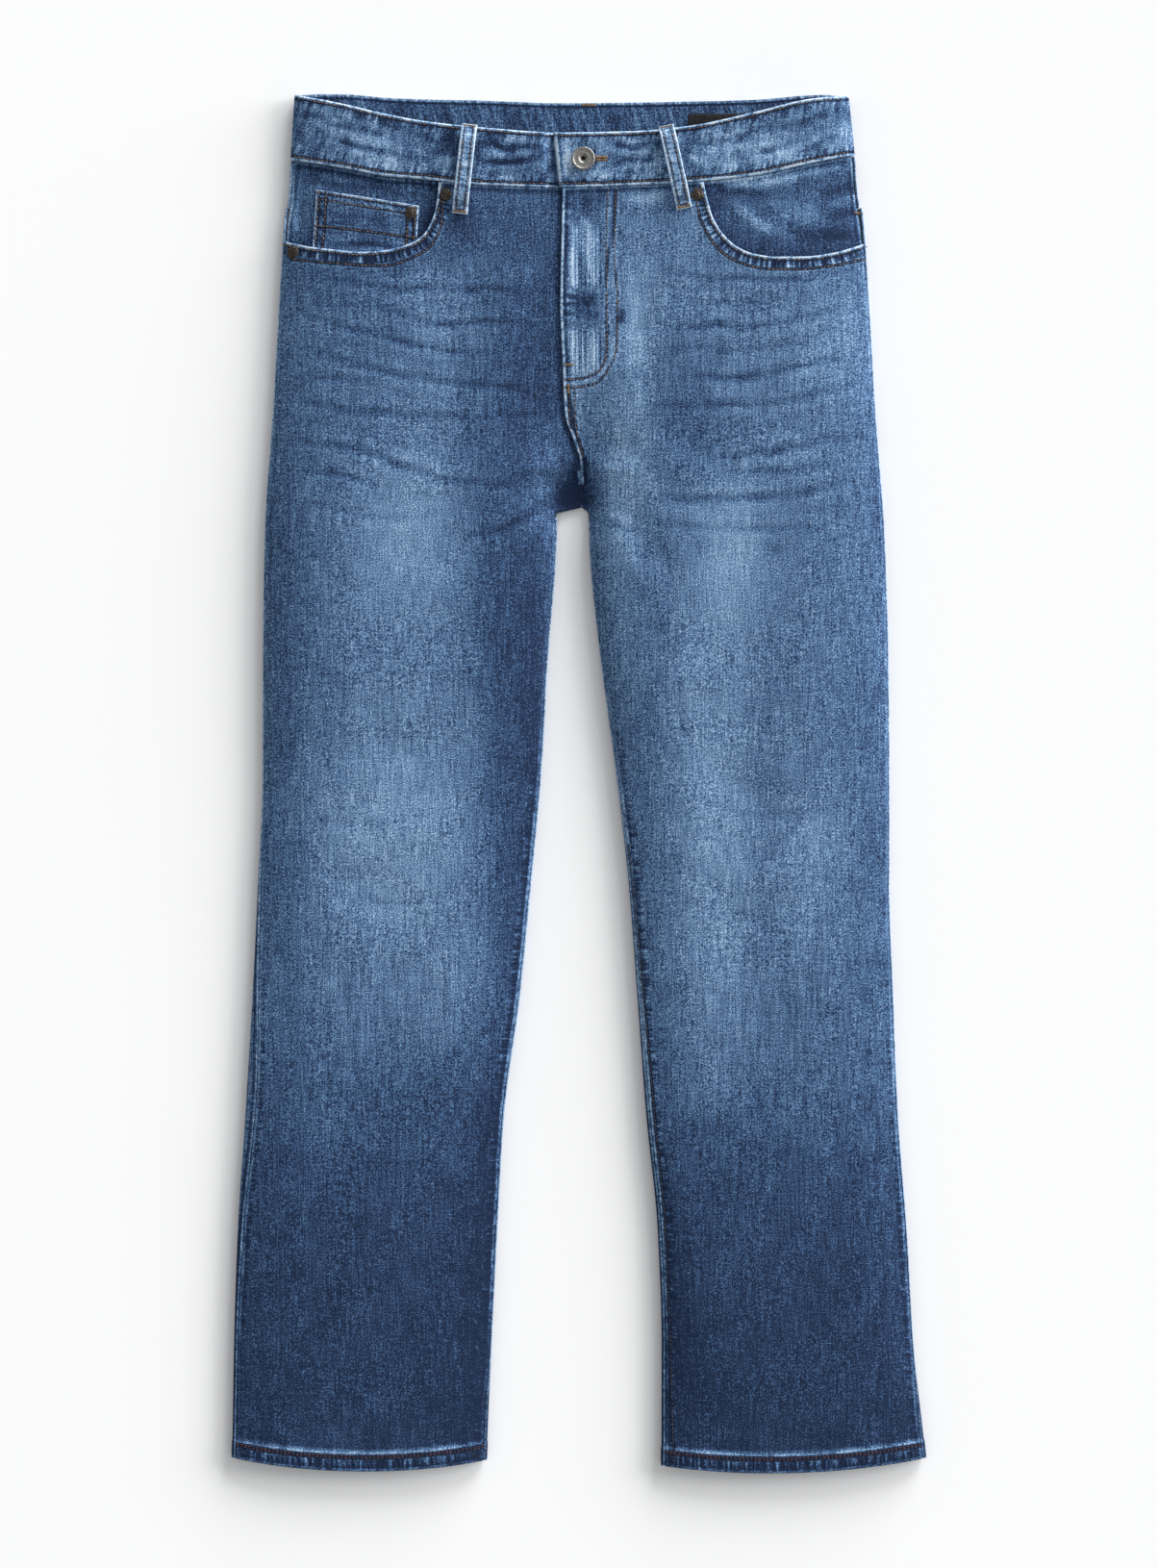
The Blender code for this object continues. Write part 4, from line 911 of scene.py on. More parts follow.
def frontFields(x, y, wearer, edges, rows):
    # what the cloth shader needs to know at each point: the nearest edge, its wear and puckers, and the tone
    fromSide, fromInner, fromHem, fromMouth, fromTop, alongMouth = edges
    onFly = y > 240.0
    under = (wearer == "right") & (y > frontCut["flyFrom"])
    # the outseams are drawn in most between the knee and the hem
    drawn = ease(-y, 150.0, 240.0) if wearer == "left" else ease(-y, 130.0, 200.0) * ease(y, -470.0, -400.0)
    drawn = 0.35 + 0.65 * drawn
    inView = ease(-y, -60.0, 60.0) * (1.0 - 0.6 * ease(-y, 390.0, 460.0))
    seams = (  # distance from an edge, place along it, how worn and how puckered it is, where the puckers end
        (fromSide, y, 0.35 * drawn, 0.95 * drawn, 7.0),
        (np.where(under, 60.0, fromInner), y, np.where(onFly, 1.0, 0.06 + 0.59 * inView),
         np.where(onFly, 0.25, 0.12 + 0.98 * inView), 9.0),
        (fromHem, x, 0.4, 1.5, 10.0),
        (fromMouth, alongMouth, 1.0, 2.0, 10.5),
        (fromTop + 0.6, x, 0.5, 0.4, 6.0),
    )
    fields = seamFields(x.shape, seams)
    fields["stitch"] = nearestRow(x, y, [row for group in rows.values() for row in group])
    tone = toneOf(x, y) + 0.20 * creased(x, y, whiskers) * reachOf(x, y, 14.0)
    # darker between the pocket mouth's rows of stitches; the darkening along the top edge is painted shadow
    # under the band
    tone = tone - 0.15 * within(fromMouth, 2.0, 3.4, 8.5, 10.5) - 0.20 * bell(fromTop, 3.0)
    hemRow = y - hemLine(x, wearer)
    ridge = bell(hemRow - frontCut["hemEdge"], 1.6) * (0.75 + 0.5 * softNoise(x, y, 7, 9, 8))
    tone = tone + 0.62 * ridge - 0.02 * (1.0 - ease(hemRow, 11.0, 13.5))
    if wearer == "right":
        fields["tone"] = tone + flyShadow(x, y)
        return fields
    # the fly is puckered along its stitches, apart from a stretch in its middle
    worn = np.exp(-((x - 5.0) / 14.0) ** 4) * within(y, 322.0, 334.0, 438.0, 450.0)
    worn *= 1.0 - within(y, 360.0, 366.0, 393.0, 399.0)
    clear = fields["seam"] > 3.0
    fields["along"] = np.where((worn > 0.1) & clear, 1.5 * x, fields["along"])
    fields["pucker"] = np.where(clear, np.maximum(fields["pucker"], 1.3 * worn), fields["pucker"])
    fields["tone"] = tone - 0.05 * bell(fromInner - 4.5, 2.2) * ease(-y, 20.0, 120.0)
    return fields


def frontPanel(wearer):
    x, y = frontGrid(wearer)
    fromSide, fromInner, fromHem = np.abs(x - x[:, :1]), np.abs(x - x[:, -1:]), y - y[:1]
    fromTop = np.where(np.abs(x) < abs(pocketMouth[wearer][-1][0]), np.abs(y[-1:] - y), 60.0)
    fromMouth, alongMouth = np.full(x.shape, 60.0), np.zeros(x.shape)
    upper = y > frontCut["mouthFrom"]
    off, share = distanceTo(x[upper], y[upper], mouthLines[wearer])
    fromMouth[upper], alongMouth[upper] = np.abs(off), share * 160.0
    edge = np.minimum.reduce([fromSide, fromInner, fromHem, fromMouth, fromTop])
    hem = hemShare(fromHem)
    outer = laidOn(x, y, frontLift(x, y, wearer) - rounded(edge, frontCut["turning"]), wearer)
    wall = mix(garment["cloth"], garment["hemWall"], hem)
    inner = laidOn(x, y, garment["hemStand"] * hem - wall, wearer)
    rows = frontStitches(wearer)
    fields = frontFields(x, y, wearer, (fromSide, fromInner, fromHem, fromMouth, fromTop, alongMouth), rows)
    piece = makeShell("cloth_front_" + wearer, outer, inner, topNormal(x, y), [denim, reverseDenim], fields)
    for group, row in [(group, row) for group in rows for row in rows[group]]:
        line = spaced(row, 2.0)
        line = line[(line[:, 1] > -545) & (line[:, 1] < mouthLevel(line[:, 0], wearer) - 0.8)]
        over = frontLift(line[:, 0], line[:, 1], wearer) + 0.12
        sewing[group].append(laidOn(line[:, 0], line[:, 1], over, wearer))
    return show(piece, "front_panel_" + wearer)


for wearer in ("right", "left"):
    frontPanel(wearer)
print("front panels ready")


# Back panels and yokes

backColumns = (-204, -178, -148, -118, -88, -60, -34)
backSeamRows = ((221, 2.3), (300, 0), (430, -4), (510, -5))
backTones = ((-560, 0.10), (-380, 0.16), (-200, 0.30), (20, 0.34), (160, 0.30), (300, 0.40), (560, 0.30))
backCut = {
    "mirrorX": -8.0,
    "foldParts": 10,  # steps of the mesh round a fold
    "columnParts": 5,  # and between two columns
    "hemRises": (0, 0.3, 1, 3, 6, 9, 12, 13, 14.5, 16),
    "turning": 0.5,
    "rows": (2.4, 8.4),  # the stitches of a seam, from its edge
}


def foldSkin(y, wearer, edge, foldHeight, ground):
    # outer points and normals from a seam on the top, over a fold, down to the ground
    outseam = edge == "out"
    edgeX = side(y, wearer) if outseam else inseam(y, wearer)
    inward = inwardOf(wearer) * (1.0 if outseam else -1.0)
    inset = insetOf(y, wearer, edge) - 0.5
    points, normals = [], []
    for share in (1.0, 0.75, 0.5, 0.25):
        x = edgeX + inward * inset * share
        normal = topNormal(x, y)
        normal[..., 1] = 0.0
        points.append(np.stack([x, y, topHeight(x, y)], -1))
        normals.append(unit(normal))
    height = foldHeight - ground
    nothing = 0.0 * edgeX
    for angle in np.linspace(0.0, 0.5 * pi, backCut["foldParts"]):
        x = edgeX + inward * garment["foldReach"] * (1.0 - np.cos(angle))
        points.append(np.stack([x, y, ground + height * (1.0 - np.sin(angle)) + nothing], -1))
        across, down = -inward * np.cos(angle) / garment["foldReach"], -np.sin(angle) / height
        normals.append(unit(np.stack([across + nothing, nothing, down + nothing], -1)))
    return np.stack(points, 1), np.stack(normals, 1)


def backRow(y, wearer, ground, raised):
    # levels of a back piece as points with normals, from its outseam to its inner edge
    y = np.asarray(y, float)
    inward = inwardOf(wearer)
    points, normals = foldSkin(y, wearer, "out", garment["foldHeight"], ground)
    valley = curve(valleyRows, np.minimum(y, garment["forkOpen"]), 3)
    inner, innerNormals = foldSkin(np.minimum(y, garment["forkOpen"]), wearer, "in", valley, ground)
    inner, innerNormals = inner[:, ::-1].copy(), innerNormals[:, ::-1].copy()
    inner[..., 1] = y[:, None]
    above = y >= garment["forkOpen"]
    stop = np.where(y < garment["forkLevel"], inseam(y, wearer),
                    curve(backSeamRows, y) - inward * 0.5 * garment["gap"])
    start = inseam(garment["forkLevel"], wearer) - inward * garment["foldReach"]
    share = np.linspace(0, 1, inner.shape[1])
    flatX = mix(start, stop[:, None], share[None])
    flatZ = 0.0 * flatX + np.reshape(ground, (-1, 1))
    flat = np.stack([flatX, np.repeat(y[:, None], len(share), 1), flatZ], -1)
    inner[above] = flat[above]
    innerNormals[above] = (0.0, 0.0, -1.0)
    ends = points[:, -1, 0], inner[:, 0, 0]
    even = [mix(ends[0], ends[1], (k + 1.0) / 8.0) for k in range(7)]
    byPocket = [x if wearer == "right" else backCut["mirrorX"] - x for x in backColumns]
    blend = ease(y, 150.0, 229.0)
    nodes = np.stack([ends[0]] + [mix(a, b, blend) for a, b in zip(even, byPocket)] + [ends[1]], -1)
    at = np.linspace(0, 8, 8 * backCut["columnParts"] + 1)[1:-1]
    x = np.stack([np.interp(at, np.arange(9), row) for row in nodes])
    inside = np.clip(np.minimum(at, 8 - at), 0, 1)[None]
    z = np.reshape(ground, (-1, 1)) + np.reshape(raised, (-1, 1)) * inside
    middle = np.stack([x, np.repeat(y[:, None], len(at), 1), z + 0.0 * x], -1)
    down = np.zeros_like(middle)
    down[..., 2] = -1.0
    return np.concatenate([points, middle, inner], 1), np.concatenate([normals, down, innerNormals], 1)


def yokeLine(x, wearer):
    share = np.clip((x - side(450.0, wearer)) / (garment["centreX"] - side(450.0, wearer)), 0, 1)
    return mix(461.0, 427.0, share)


def bandLine(x):
    return mix(498.6, 502.0, np.clip((x + 228.0) / 444.0, 0, 1))


def backTone(x, y, wearer):
    seatX = -140.0 if wearer == "right" else 132.0
    tone = curve(backTones, y) + 0.14 * bell(x - seatX, 60.0) * bell(y - 300.0, 80.0)
    return tone + 0.04 * softNoise(x, y, 24.0, 40.0, 31) + 0.16 * creased(x, y, backCreases)


def nearRows(edge, rows):
    # distance to the nearest of the rows of stitches that run along an edge
    return np.minimum.reduce([np.abs(edge - row) for row in rows])


def seamPucker(edge, strength, fading=6.5):
    return strength * within(edge, 1.2, 3.0, fading, 9.0)


def backShell(name, points, normals, stand, wall, tone):
    outer = points + normals * np.reshape(stand, (-1, 1, 1))
    outer[..., 2] = np.maximum(outer[..., 2], 0.0)
    inner = outer - normals * np.reshape(wall, (-1, 1, 1))
    y = points[..., 1]
    steps = np.linalg.norm(np.diff(points, axis=1), axis=-1)
    reach = np.concatenate([np.zeros((len(y), 1)), np.cumsum(steps, 1)], 1)
    fromEnds = np.minimum(reach, reach[:, -1:] - reach)
    fromRows = np.minimum(np.abs(y - y[:1]), np.abs(y[-1:] - y))
    edge = np.minimum(fromEnds, fromRows)
    outer = outer - normals * rounded(edge, backCut["turning"])[..., None]
    fields = {"tone": tone, "seam": edge, "stitch": nearRows(edge, backCut["rows"]), "worn": 0.25, "along": y,
              "pucker": seamPucker(edge, 0.4)}
    return makeShell(name, outer, inner, normals, [denim, reverseDenim], fields)


def addRow(corners, height):
    # a row of stitches on the under side, through some corners at one height
    line = spaced(np.array(corners, float), 2.4)
    sewing["back"].append(np.column_stack([line, np.full(len(line), height)]))


def backPanel(wearer):
    low, legTop, hipTop = frontCut["hemBlend"], frontCut["legTop"], garment["hipLevel"]
    forkLow, forkHigh = garment["forkOpen"], garment["forkLevel"]
    rises = np.array(backCut["hemRises"], float)
    hem, hemNormals = backRow(-540.0 + rises, wearer, 0.0, 0.0 * rises)
    hem[..., 1] = hemLine(hem[..., 0], wearer, 2.0 / 9.0) + rises[:, None]
    first, firstNormals = backRow(np.array([low]), wearer, 0.0, np.zeros(1))
    share = np.linspace(0, 1, 7)[1:, None, None]
    blend, blendNormals = mix(hem[-1:], first, share), unit(mix(hemNormals[-1:], firstNormals, share))
    levels = np.concatenate([np.linspace(low, legTop, 139)[1:], np.linspace(legTop, forkLow, 6)[1:],
                             np.linspace(forkHigh, hipTop, 36)])
    raised = garment["pocketRaise"] * np.clip((levels - 229.0) / 8.0, 0, 1)
    main, mainNormals = backRow(levels, wearer, 0.0, raised)
    share = np.linspace(0, 1, 13)[1:]
    raised = garment["pocketRaise"] * np.clip(2 - 2 * share, 0, 1)
    top, topNormals = backRow(mix(hipTop, 450.0, share), wearer, 0.0, raised)
    top[..., 1] = mix(hipTop, yokeLine(top[..., 0], wearer) - garment["gap"], share[:, None])
    points = np.concatenate([hem, blend, main, top])
    normals = np.concatenate([hemNormals, blendNormals, mainNormals, topNormals])
    if len(points) % 2 == 0:
        points, normals = np.delete(points, 20, 0), np.delete(normals, 20, 0)
    onHem = hemShare(points[:, 0, 1] - points[0, 0, 1])
    wall = mix(garment["cloth"], garment["hemWall"], onHem)
    tone = backTone(points[..., 0], points[..., 1], wearer)
    piece = backShell("cloth_back_" + wearer, points, normals, garment["hemStand"] * onHem, wall, tone)
    return show(piece, "back_panel_" + wearer)


def backYoke(wearer):
    share = np.linspace(0, 1, 15)
    ground = garment["backRest"] * np.clip(share / 0.3, 0, 1)
    points, normals = backRow(mix(460.0, 500.0, share), wearer, ground, 0.0 * share)
    x = points[..., 0]
    points[..., 1] = mix(yokeLine(x, wearer), bandLine(x) - garment["gap"], share[:, None])
    tone, wall = backTone(x, points[..., 1], wearer) - 0.04, garment["cloth"] + 0.0 * share
    piece = backShell("cloth_yoke_" + wearer, points, normals, 0.0 * share, wall, tone)
    return show(piece, "back_yoke_" + wearer)


def flatPatch(name, x, y, heights, edge, stitch, tone, faceUp, materials, node):
    # a thin flat piece between two heights, with its worn side up or down
    face, back = heights[::-1] if faceUp else heights
    outward = 1.0 if faceUp else -1.0
    outer = np.stack([x, y, face - outward * rounded(edge, 0.35)], -1)
    inner = np.stack([x, y, np.full(x.shape, back)], -1)
    normals = np.zeros_like(outer)
    normals[..., 2] = outward
    fields = {"tone": tone, "seam": edge, "stitch": stitch, "worn": 0.8, "along": x + y,
              "pucker": seamPucker(edge, 0.5)}
    return show(makeShell(name, outer, inner, normals, materials, fields), node)


def oblong(left, right, low, high, columns, rows, closeness=0.01):
    # x and y of a flat four-sided piece, and the distance from its edge
    u, v = edgeSpread(columns, closeness)[None], edgeSpread(rows)[:, None]
    x, y = mix(left, right, u) + 0.0 * v, mix(low, high, v) + 0.0 * u
    return x, y, np.minimum.reduce([x - left, right - x, y - low, high - y])


def edgeSpread(count, closeness=0.01):
    # shares from 0 to 1, with some very near both ends; an odd number of them
    close = np.array((0.0, closeness * 0.3, closeness))
    shares = np.concatenate([close, np.linspace(0, 1, count)[1:-1], 1.0 - close[::-1]])
    return shares if len(shares) % 2 else np.delete(shares, len(shares) // 2)


backPocketCut = {
    "centre": -118.0,
    "halfBottom": 72.0,
    "halfTop": 78.0,
    "bottom": 270.0,
    "point": 20.0,
    "top": 404.0,
    "rows": (2.2, 8.0),
    "mouthRow": 12.0,
    "threadHeight": 0.08,
}


def backPocket(wearer):
    cut = backPocketCut
    bottomHalf, topHalf, bottom, top = cut["halfBottom"], cut["halfTop"], cut["bottom"], cut["top"]
    centre = cut["centre"] if wearer == "right" else backCut["mirrorX"] - cut["centre"]
    u, v = edgeSpread(34)[None], edgeSpread(30)[:, None]
    x = centre + mix(mix(-bottomHalf, bottomHalf, u), mix(-topHalf, topHalf, u), v)
    y = mix(bottom - cut["point"] * (1.0 - np.abs(2.0 * u - 1.0)), top, v)
    edge = np.minimum.reduce([np.abs(x - x[:, :1]), np.abs(x - x[:, -1:]), y - y[:1], top - y + 0.0 * x])
    tone = backTone(x, y, wearer) + 0.05
    flatPatch("cloth_back_pocket_" + wearer, x, y, (0.0, garment["cloth"]), edge, nearRows(edge, cut["rows"]),
              tone, False, [denim, reverseDenim], "back_pocket_" + wearer)
    for depth in cut["rows"]:
        half = [(topHalf - depth, top - 0.2 * depth), (bottomHalf - depth, bottom + 0.55 * depth)]
        mirrored = [(-across, level) for across, level in half]
        ring = mirrored + [(0, bottom - cut["point"] + 1.03 * depth)] + half[::-1]
        addRow(np.array(ring) + (centre, 0.0), cut["threadHeight"])
    mouth = top - cut["mouthRow"]
    addRow([(centre - 76.0, mouth), (centre + 76.0, mouth)], cut["threadHeight"])


for wearer in ("right", "left"):
    backPanel(wearer)
    backYoke(wearer)
    backPocket(wearer)
print("back ready")


# Facings and coin pocket

facingCut = {
    "right": {"end": -98.0, "depth": 3.2, "tone": 0.20, "shadeUnderBand": 0.14},
    "left": {"end": 88.0, "depth": 1.6, "tone": 0.155, "shadeUnderBand": 0.06},
    "bottom": 404.0,
    "outerDepth": 1.6,
    "markTone": 1.5,
    "markRelief": 2.2,
}
# folds of the facings that show in the pocket mouths: points, width, change of tone
facingMarks = {
    "right": (
        (((-232, 470), (-231, 452), (-231, 438)), 6.0, 0.22),
        (((-220, 482), (-180, 478), (-130, 470)), 4.0, -0.08),
        (((-122, 462), (-120, 450), (-124, 440)), 5.0, -0.16), (((-205, 484), (-170, 480)), 3.0, 0.08),
    ),
    "left": (
        (((124, 464), (134, 454), (149, 442)), 4.5, 0.20),
        (((158, 462), (175, 456), (190, 450)), 9.0, 0.17),
        (((103, 475), (124, 474), (146, 471)), 3.0, -0.16),
        (((150, 482), (184, 488), (216, 495)), 4.0, 0.20),
        (((196, 472), (210, 475), (224, 482)), 3.4, -0.13),
        (((198, 453), (212, 455), (228, 461)), 3.4, -0.14),
        (((196, 436), (210, 437), (224, 441)), 3.4, -0.10),
        (((200, 463), (214, 466), (228, 472)), 3.0, 0.10),
        (((175, 441), (195, 438), (215, 441)), 6.0, -0.13),
        (((106, 481), (136, 480), (168, 483)), 5.5, 0.34),
        (((138, 452), (150, 444), (166, 438)), 5.0, 0.12),
    ),
}
coinCreases = (
    (((-198, 431), (-165, 430), (-134, 424)), 1.7, 0.9),
    (((-190, 422), (-160, 422), (-134, 417)), 1.5, 0.8),
    (((-200, 455), (-170, 452), (-140, 447)), 1.6, 0.5), (((-203, 441), (-180, 437)), 1.6, 0.6),
)
coinCut = {
    "corners": ((-215.0, 404.0), (-210.5, 475.0), (-128.0, 461.6), (-131.5, 404.0)),
    "depth": 1.6,
    "topRows": (2.0, 7.6),
    "sideRows": (2.3, 8.4),
    "crossRow": ((-211.4, 446.2), (-130.1, 435.8)),
    "tone": 0.165,
}


def facing(wearer):
    cut, bottom = facingCut[wearer], facingCut["bottom"]
    share = edgeSpread(38)[:, None]
    seamLevel = curve(waistRows, side(490.0, wearer)) - garment["gap"]
    level = mix(bottom, seamLevel, share)
    start = side(level, wearer) + inwardOf(wearer) * insetOf(level, wearer, "out")
    x = mix(start, cut["end"], edgeSpread(58, 0.004)[None])
    y = mix(bottom, curve(waistRows, x) - garment["gap"], share)
    fromSide, fromTop = np.abs(x - start), y[-1:] - y
    depth = mix(facingCut["outerDepth"], cut["depth"], ease(fromSide, 2.0, 9.0))
    edge = np.minimum(fromSide, fromTop)
    pucker = 0.25 * softNoise(x, y, 5.0, 14.0, 51) * bell(fromTop, 12.0)
    marks = strokes(x, y, facingMarks[wearer], 10, 0.5)
    relief = np.clip(facingCut["markRelief"] * marks, -0.5, 0.5)
    outer = laidOn(x, y, -depth - rounded(edge, 0.5) + pucker + relief)
    inner = laidOn(x, y, -depth - garment["cloth"])
    off = distanceTo(x, y, mouthLines[wearer])[0]
    tone = cut["tone"] + 0.04 * softNoise(x, y, 14.0, 14.0, 52) + facingCut["markTone"] * marks
    # painted shade: darker close under the pocket mouth's edge and under the band
    tone = tone - 0.22 * np.exp(-np.abs(off) / 6.0) - cut["shadeUnderBand"] * bell(fromTop, 3.5)
    fields = {"tone": tone, "seam": edge, "worn": 0.5, "pucker": 0.35 * (1.0 - ease(fromTop, 4.0, 14.0)),
              "along": x}
    cloths = [pocketDenim, reverseDenim]
    piece = makeShell("cloth_facing_" + wearer, outer, inner, topNormal(x, y), cloths, fields)
    return show(piece, "pocket_facing_" + wearer)


def coinPocket():
    lowLeft, topLeft, topRight, lowRight = np.array(coinCut["corners"])
    v, u = edgeSpread(32)[:, None, None], edgeSpread(40)[None, :, None]
    place = mix(mix(lowLeft, topLeft, v), mix(lowRight, topRight, v), u)
    x, y = place[..., 0], place[..., 1]
    fromTop, fromLeft, fromRight = (np.linalg.norm(place - border, axis=-1) for border in (
        place[-1:], place[:, :1], place[:, -1:]))
    edge = np.minimum.reduce([fromTop, fromLeft, fromRight])
    rows = [mix(topLeft, topRight, np.linspace(0.02, 0.98, 30)[:, None]) - (0.0, depth)
            for depth in coinCut["topRows"]]
    for depth in coinCut["sideRows"]:
        share = np.linspace(0.3, 0.97, 20)[:, None]
        rows += [mix(lowRight, topRight, share) - (depth, 0.0), mix(lowLeft, topLeft, share) + (depth, 0.0)]
    start, end = np.array(coinCut["crossRow"])
    rows.append(mix(start, end, np.linspace(0, 1, 30)[:, None]))
    folds = creased(x, y, coinCreases)
    lift = 0.30 * (1.0 - ease(fromTop, 8.5, 10.0)) + 0.12 * softNoise(x, y, 5.0, 5.0, 53) - coinCut["depth"]
    lift = lift + 0.35 * folds * ease(edge, 0.0, 3.0) - rounded(edge, 0.5)
    outer, inner = laidOn(x, y, lift), laidOn(x, y, -coinCut["depth"] - garment["cloth"])
    tone = coinCut["tone"] + 0.11 * softNoise(x, y, 16.0, 6.0, 54) + 0.28 * folds
    tone = tone + 0.20 * bell(fromTop - 4.8, 3.0)
    fields = {"tone": tone, "seam": edge, "stitch": nearestRow(x, y, rows), "worn": 1.0, "along": x + y,
              "pucker": seamPucker(edge, 0.8, 7.0)}
    cloths = [pocketDenim, reverseDenim]
    piece = makeShell("cloth_coin_pocket", outer, inner, topNormal(x, y), cloths, fields)
    for row in rows:
        line = spaced(row, 2.0)
        sewing["front"].append(laidOn(line[:, 0], line[:, 1], 0.35 - coinCut["depth"]))
    return show(piece, "coin_pocket")


for wearer in ("right", "left"):
    facing(wearer)
coinPocket()
print("pockets ready")


# Waistband

bandSettings = {
    "wall": 2.8,
    "stand": 0.8,
    "drop": 3.3,  # how far the end under the other lies down
    "underlapEnd": 28.0,
    "overlapEnd": (-15.5, -20.5),  # at its bottom and at its top
    "buttonAt": (3.5, 498.9),
    "rows": (3.0, 2.6),  # the stitches, from the bottom and from the top
    "turning": 1.1,
    "frontTone": (0.31, 0.36),  # of the wearer's right half, and of the left one
    "insideTone": 0.27,
}
keyhole = {"half": 0.7, "radius": 3.1, "length": 18.0, "below": 3.05, "above": 2.0}


def fitWidth(x, y):
    # moves a place given for the middle of the band to where the band is that wide
    middle = garment["centreX"]
    here, there = (np.where(x < middle, side(level, "right"), side(level, "left")) for level in (y, 525.0))
    return middle + (x - middle) * (here - middle) / (there - middle)


def bandFront(x, share, wearer):
    # points and normals of one crossing of the band, in front
    def levelAt(place):
        return mix(curve(waistRows, place, 1), curve(waistRows, place, 2), share)
    x = fitWidth(x, levelAt(x))
    level = levelAt(x)
    drop = bandSettings["drop"] * ease(x, -29.5, -23.0) if wearer == "right" else 0.0 * x
    normal = topNormal(x, level)
    return np.stack([x, level, topHeight(x, level) - drop], -1) + normal * bandSettings["stand"], normal


def bandFold(wearer, degrees, share):
    # the same at the fold of a side, turned down by some degrees
    x = waistRows[0][0] if wearer == "right" else waistRows[-1][0]
    level = mix(curve(waistRows, x, 1), curve(waistRows, x, 2), share)
    angle = radians(degrees)
    inward = inwardOf(wearer)
    height = garment["foldHeight"] + bandSettings["stand"] - garment["backRest"]
    spot = side(level, wearer) + inward * garment["foldReach"] * (1.0 - np.cos(angle))
    point = np.stack([spot, level, garment["backRest"] + height * (1.0 - np.sin(angle)) + 0.0 * spot], -1)
    normal = np.array((-inward * np.cos(angle) / garment["foldReach"], 0.0, -np.sin(angle) / height))
    return point, np.broadcast_to(unit(normal), point.shape)


def bandBack(x, share):
    # and behind
    level = mix(bandLine(x), curve(waistRows, x, 3), share)
    point = np.stack([fitWidth(x, level), level, garment["backRest"] + 0.0 * level], -1)
    return point, np.broadcast_to((0.0, 0.0, -1.0), point.shape)


# Places of the band worn pale or dark: x, y, radius across, radius along, change of tone
bandMarks = (
    (-155, 497, 42, 9, 0.12), (-127, 517, 26, 9, -0.10), (-200, 520, 26, 14, 0.06),
    (-52, 505, 34, 16, -0.12), (-66, 504, 7, 5, 0.20), (-46, 516, 14, 4, 0.16), (-60, 484, 24, 5, 0.14),
    (-8, 500, 6, 13, 0.34), (-2, 516, 9, 3, -0.14), (18, 486, 16, 5, 0.20), (48, 503, 16, 8, -0.14),
    (36, 514, 14, 4, 0.14), (62, 488, 10, 6, 0.16), (92, 526, 12, 12, -0.12), (134, 506, 30, 9, 0.16),
    (186, 528, 40, 14, -0.11), (112, 494, 18, 4, 0.18), (-92, 515, 16, 14, -0.10), (-6, 519, 20, 5, -0.08),
    (-160, 516, 24, 8, 0.09), (-32, 482, 12, 7, -0.28), (34, 480, 12, 5, -0.18), (-118, 490, 8, 6, -0.10),
)
# Straight stretches of it: the worn end over the fly, painted shade beside that end and beside the loops, and
# darker stretches near its top
bandLines = (
    (((-18.5, 517), (-14.5, 480)), 1.9, 0.34), (((-12, 512), (-9, 486)), 2.6, 0.14),
    (((-22, 518), (-18, 480)), 1.6, -0.16), (((-80, 522), (-84, 482)), 3.0, -0.16),
    (((-99, 524), (-102, 484)), 2.6, -0.12), (((64, 520), (72, 482)), 3.0, -0.14),
    (((84, 524), (91, 484)), 3.0, -0.16), (((-30, 518), (-60, 520)), 2.4, -0.16),
    (((22, 518), (60, 520)), 2.4, -0.12),
)
bandCreases = (
    (((-222, 536), (-180, 522), (-140, 514)), 2.2, 0.7),
    (((-210, 520), (-170, 506), (-130, 500)), 2.2, 0.6), (((-84, 514), (-62, 508), (-30, 510)), 2.4, 1.0),
    (((-80, 498), (-56, 496), (-28, 500)), 2.2, 0.9), (((-76, 488), (-50, 490)), 2.0, 0.6),
    (((20, 514), (44, 508), (66, 512)), 2.2, 0.9), (((24, 494), (46, 500), (64, 498)), 2.2, 0.8),
    (((84, 510), (120, 514), (150, 524)), 2.4, 0.8), (((120, 500), (160, 508), (200, 524)), 2.2, 0.6),
    (((150, 520), (190, 532), (212, 536)), 2.2, 0.6), (((180, 505), (200, 516), (216, 520)), 2.2, 0.7),
)


def bandGrid(share):
    # points and normals of the band, once round: from its end under the other one to the end over it
    def crossings(places):
        return [np.full(share.shape, x) for x in places]
    under = np.arange(bandSettings["underlapEnd"], -225.6, -1.69)
    end = mix(*bandSettings["overlapEnd"], share)
    stations = [bandFront(x, share, "right") for x in crossings(under)]
    stations += [bandFold("right", degrees, share) for degrees in range(0, 91, 10)]
    stations += [bandBack(x, share) for x in crossings(np.linspace(-215.0, 203.0, 100))]
    stations += [bandFold("left", degrees, share) for degrees in range(90, -1, -10)]
    stations += [bandFront(x, share, "left") for x in crossings(np.linspace(212.5, 0.0, 131))]
    stations += [bandFront(mix(0.0, end, k / 12.0), share, "left") for k in range(1, 13)]
    if len(stations) % 2 == 0:
        stations.pop(200)
    return [np.stack(values, 1) for values in zip(*stations)]


def bandTone(x, y, reach, front, slanted):
    tone = np.where(front, mix(*bandSettings["frontTone"], ease(x, -40.0, 40.0)), bandSettings["insideTone"])
    tone = tone + 0.05 * softNoise(x, y, 12.0, 12.0, 63) + 0.15 * softNoise(reach + 0.4 * y, y, 5.0, 12.0, 61)
    tone = tone + 0.11 * softNoise(x, y, 22.0, 5.0, 66) + 0.44 * slanted
    marks = 0.15 * softNoise(x + 0.5 * y, y, 9.0, 6.0, 67) + 1.3 * spots(x, y, bandMarks)
    return tone + (marks + strokes(x, y, bandLines)) * front


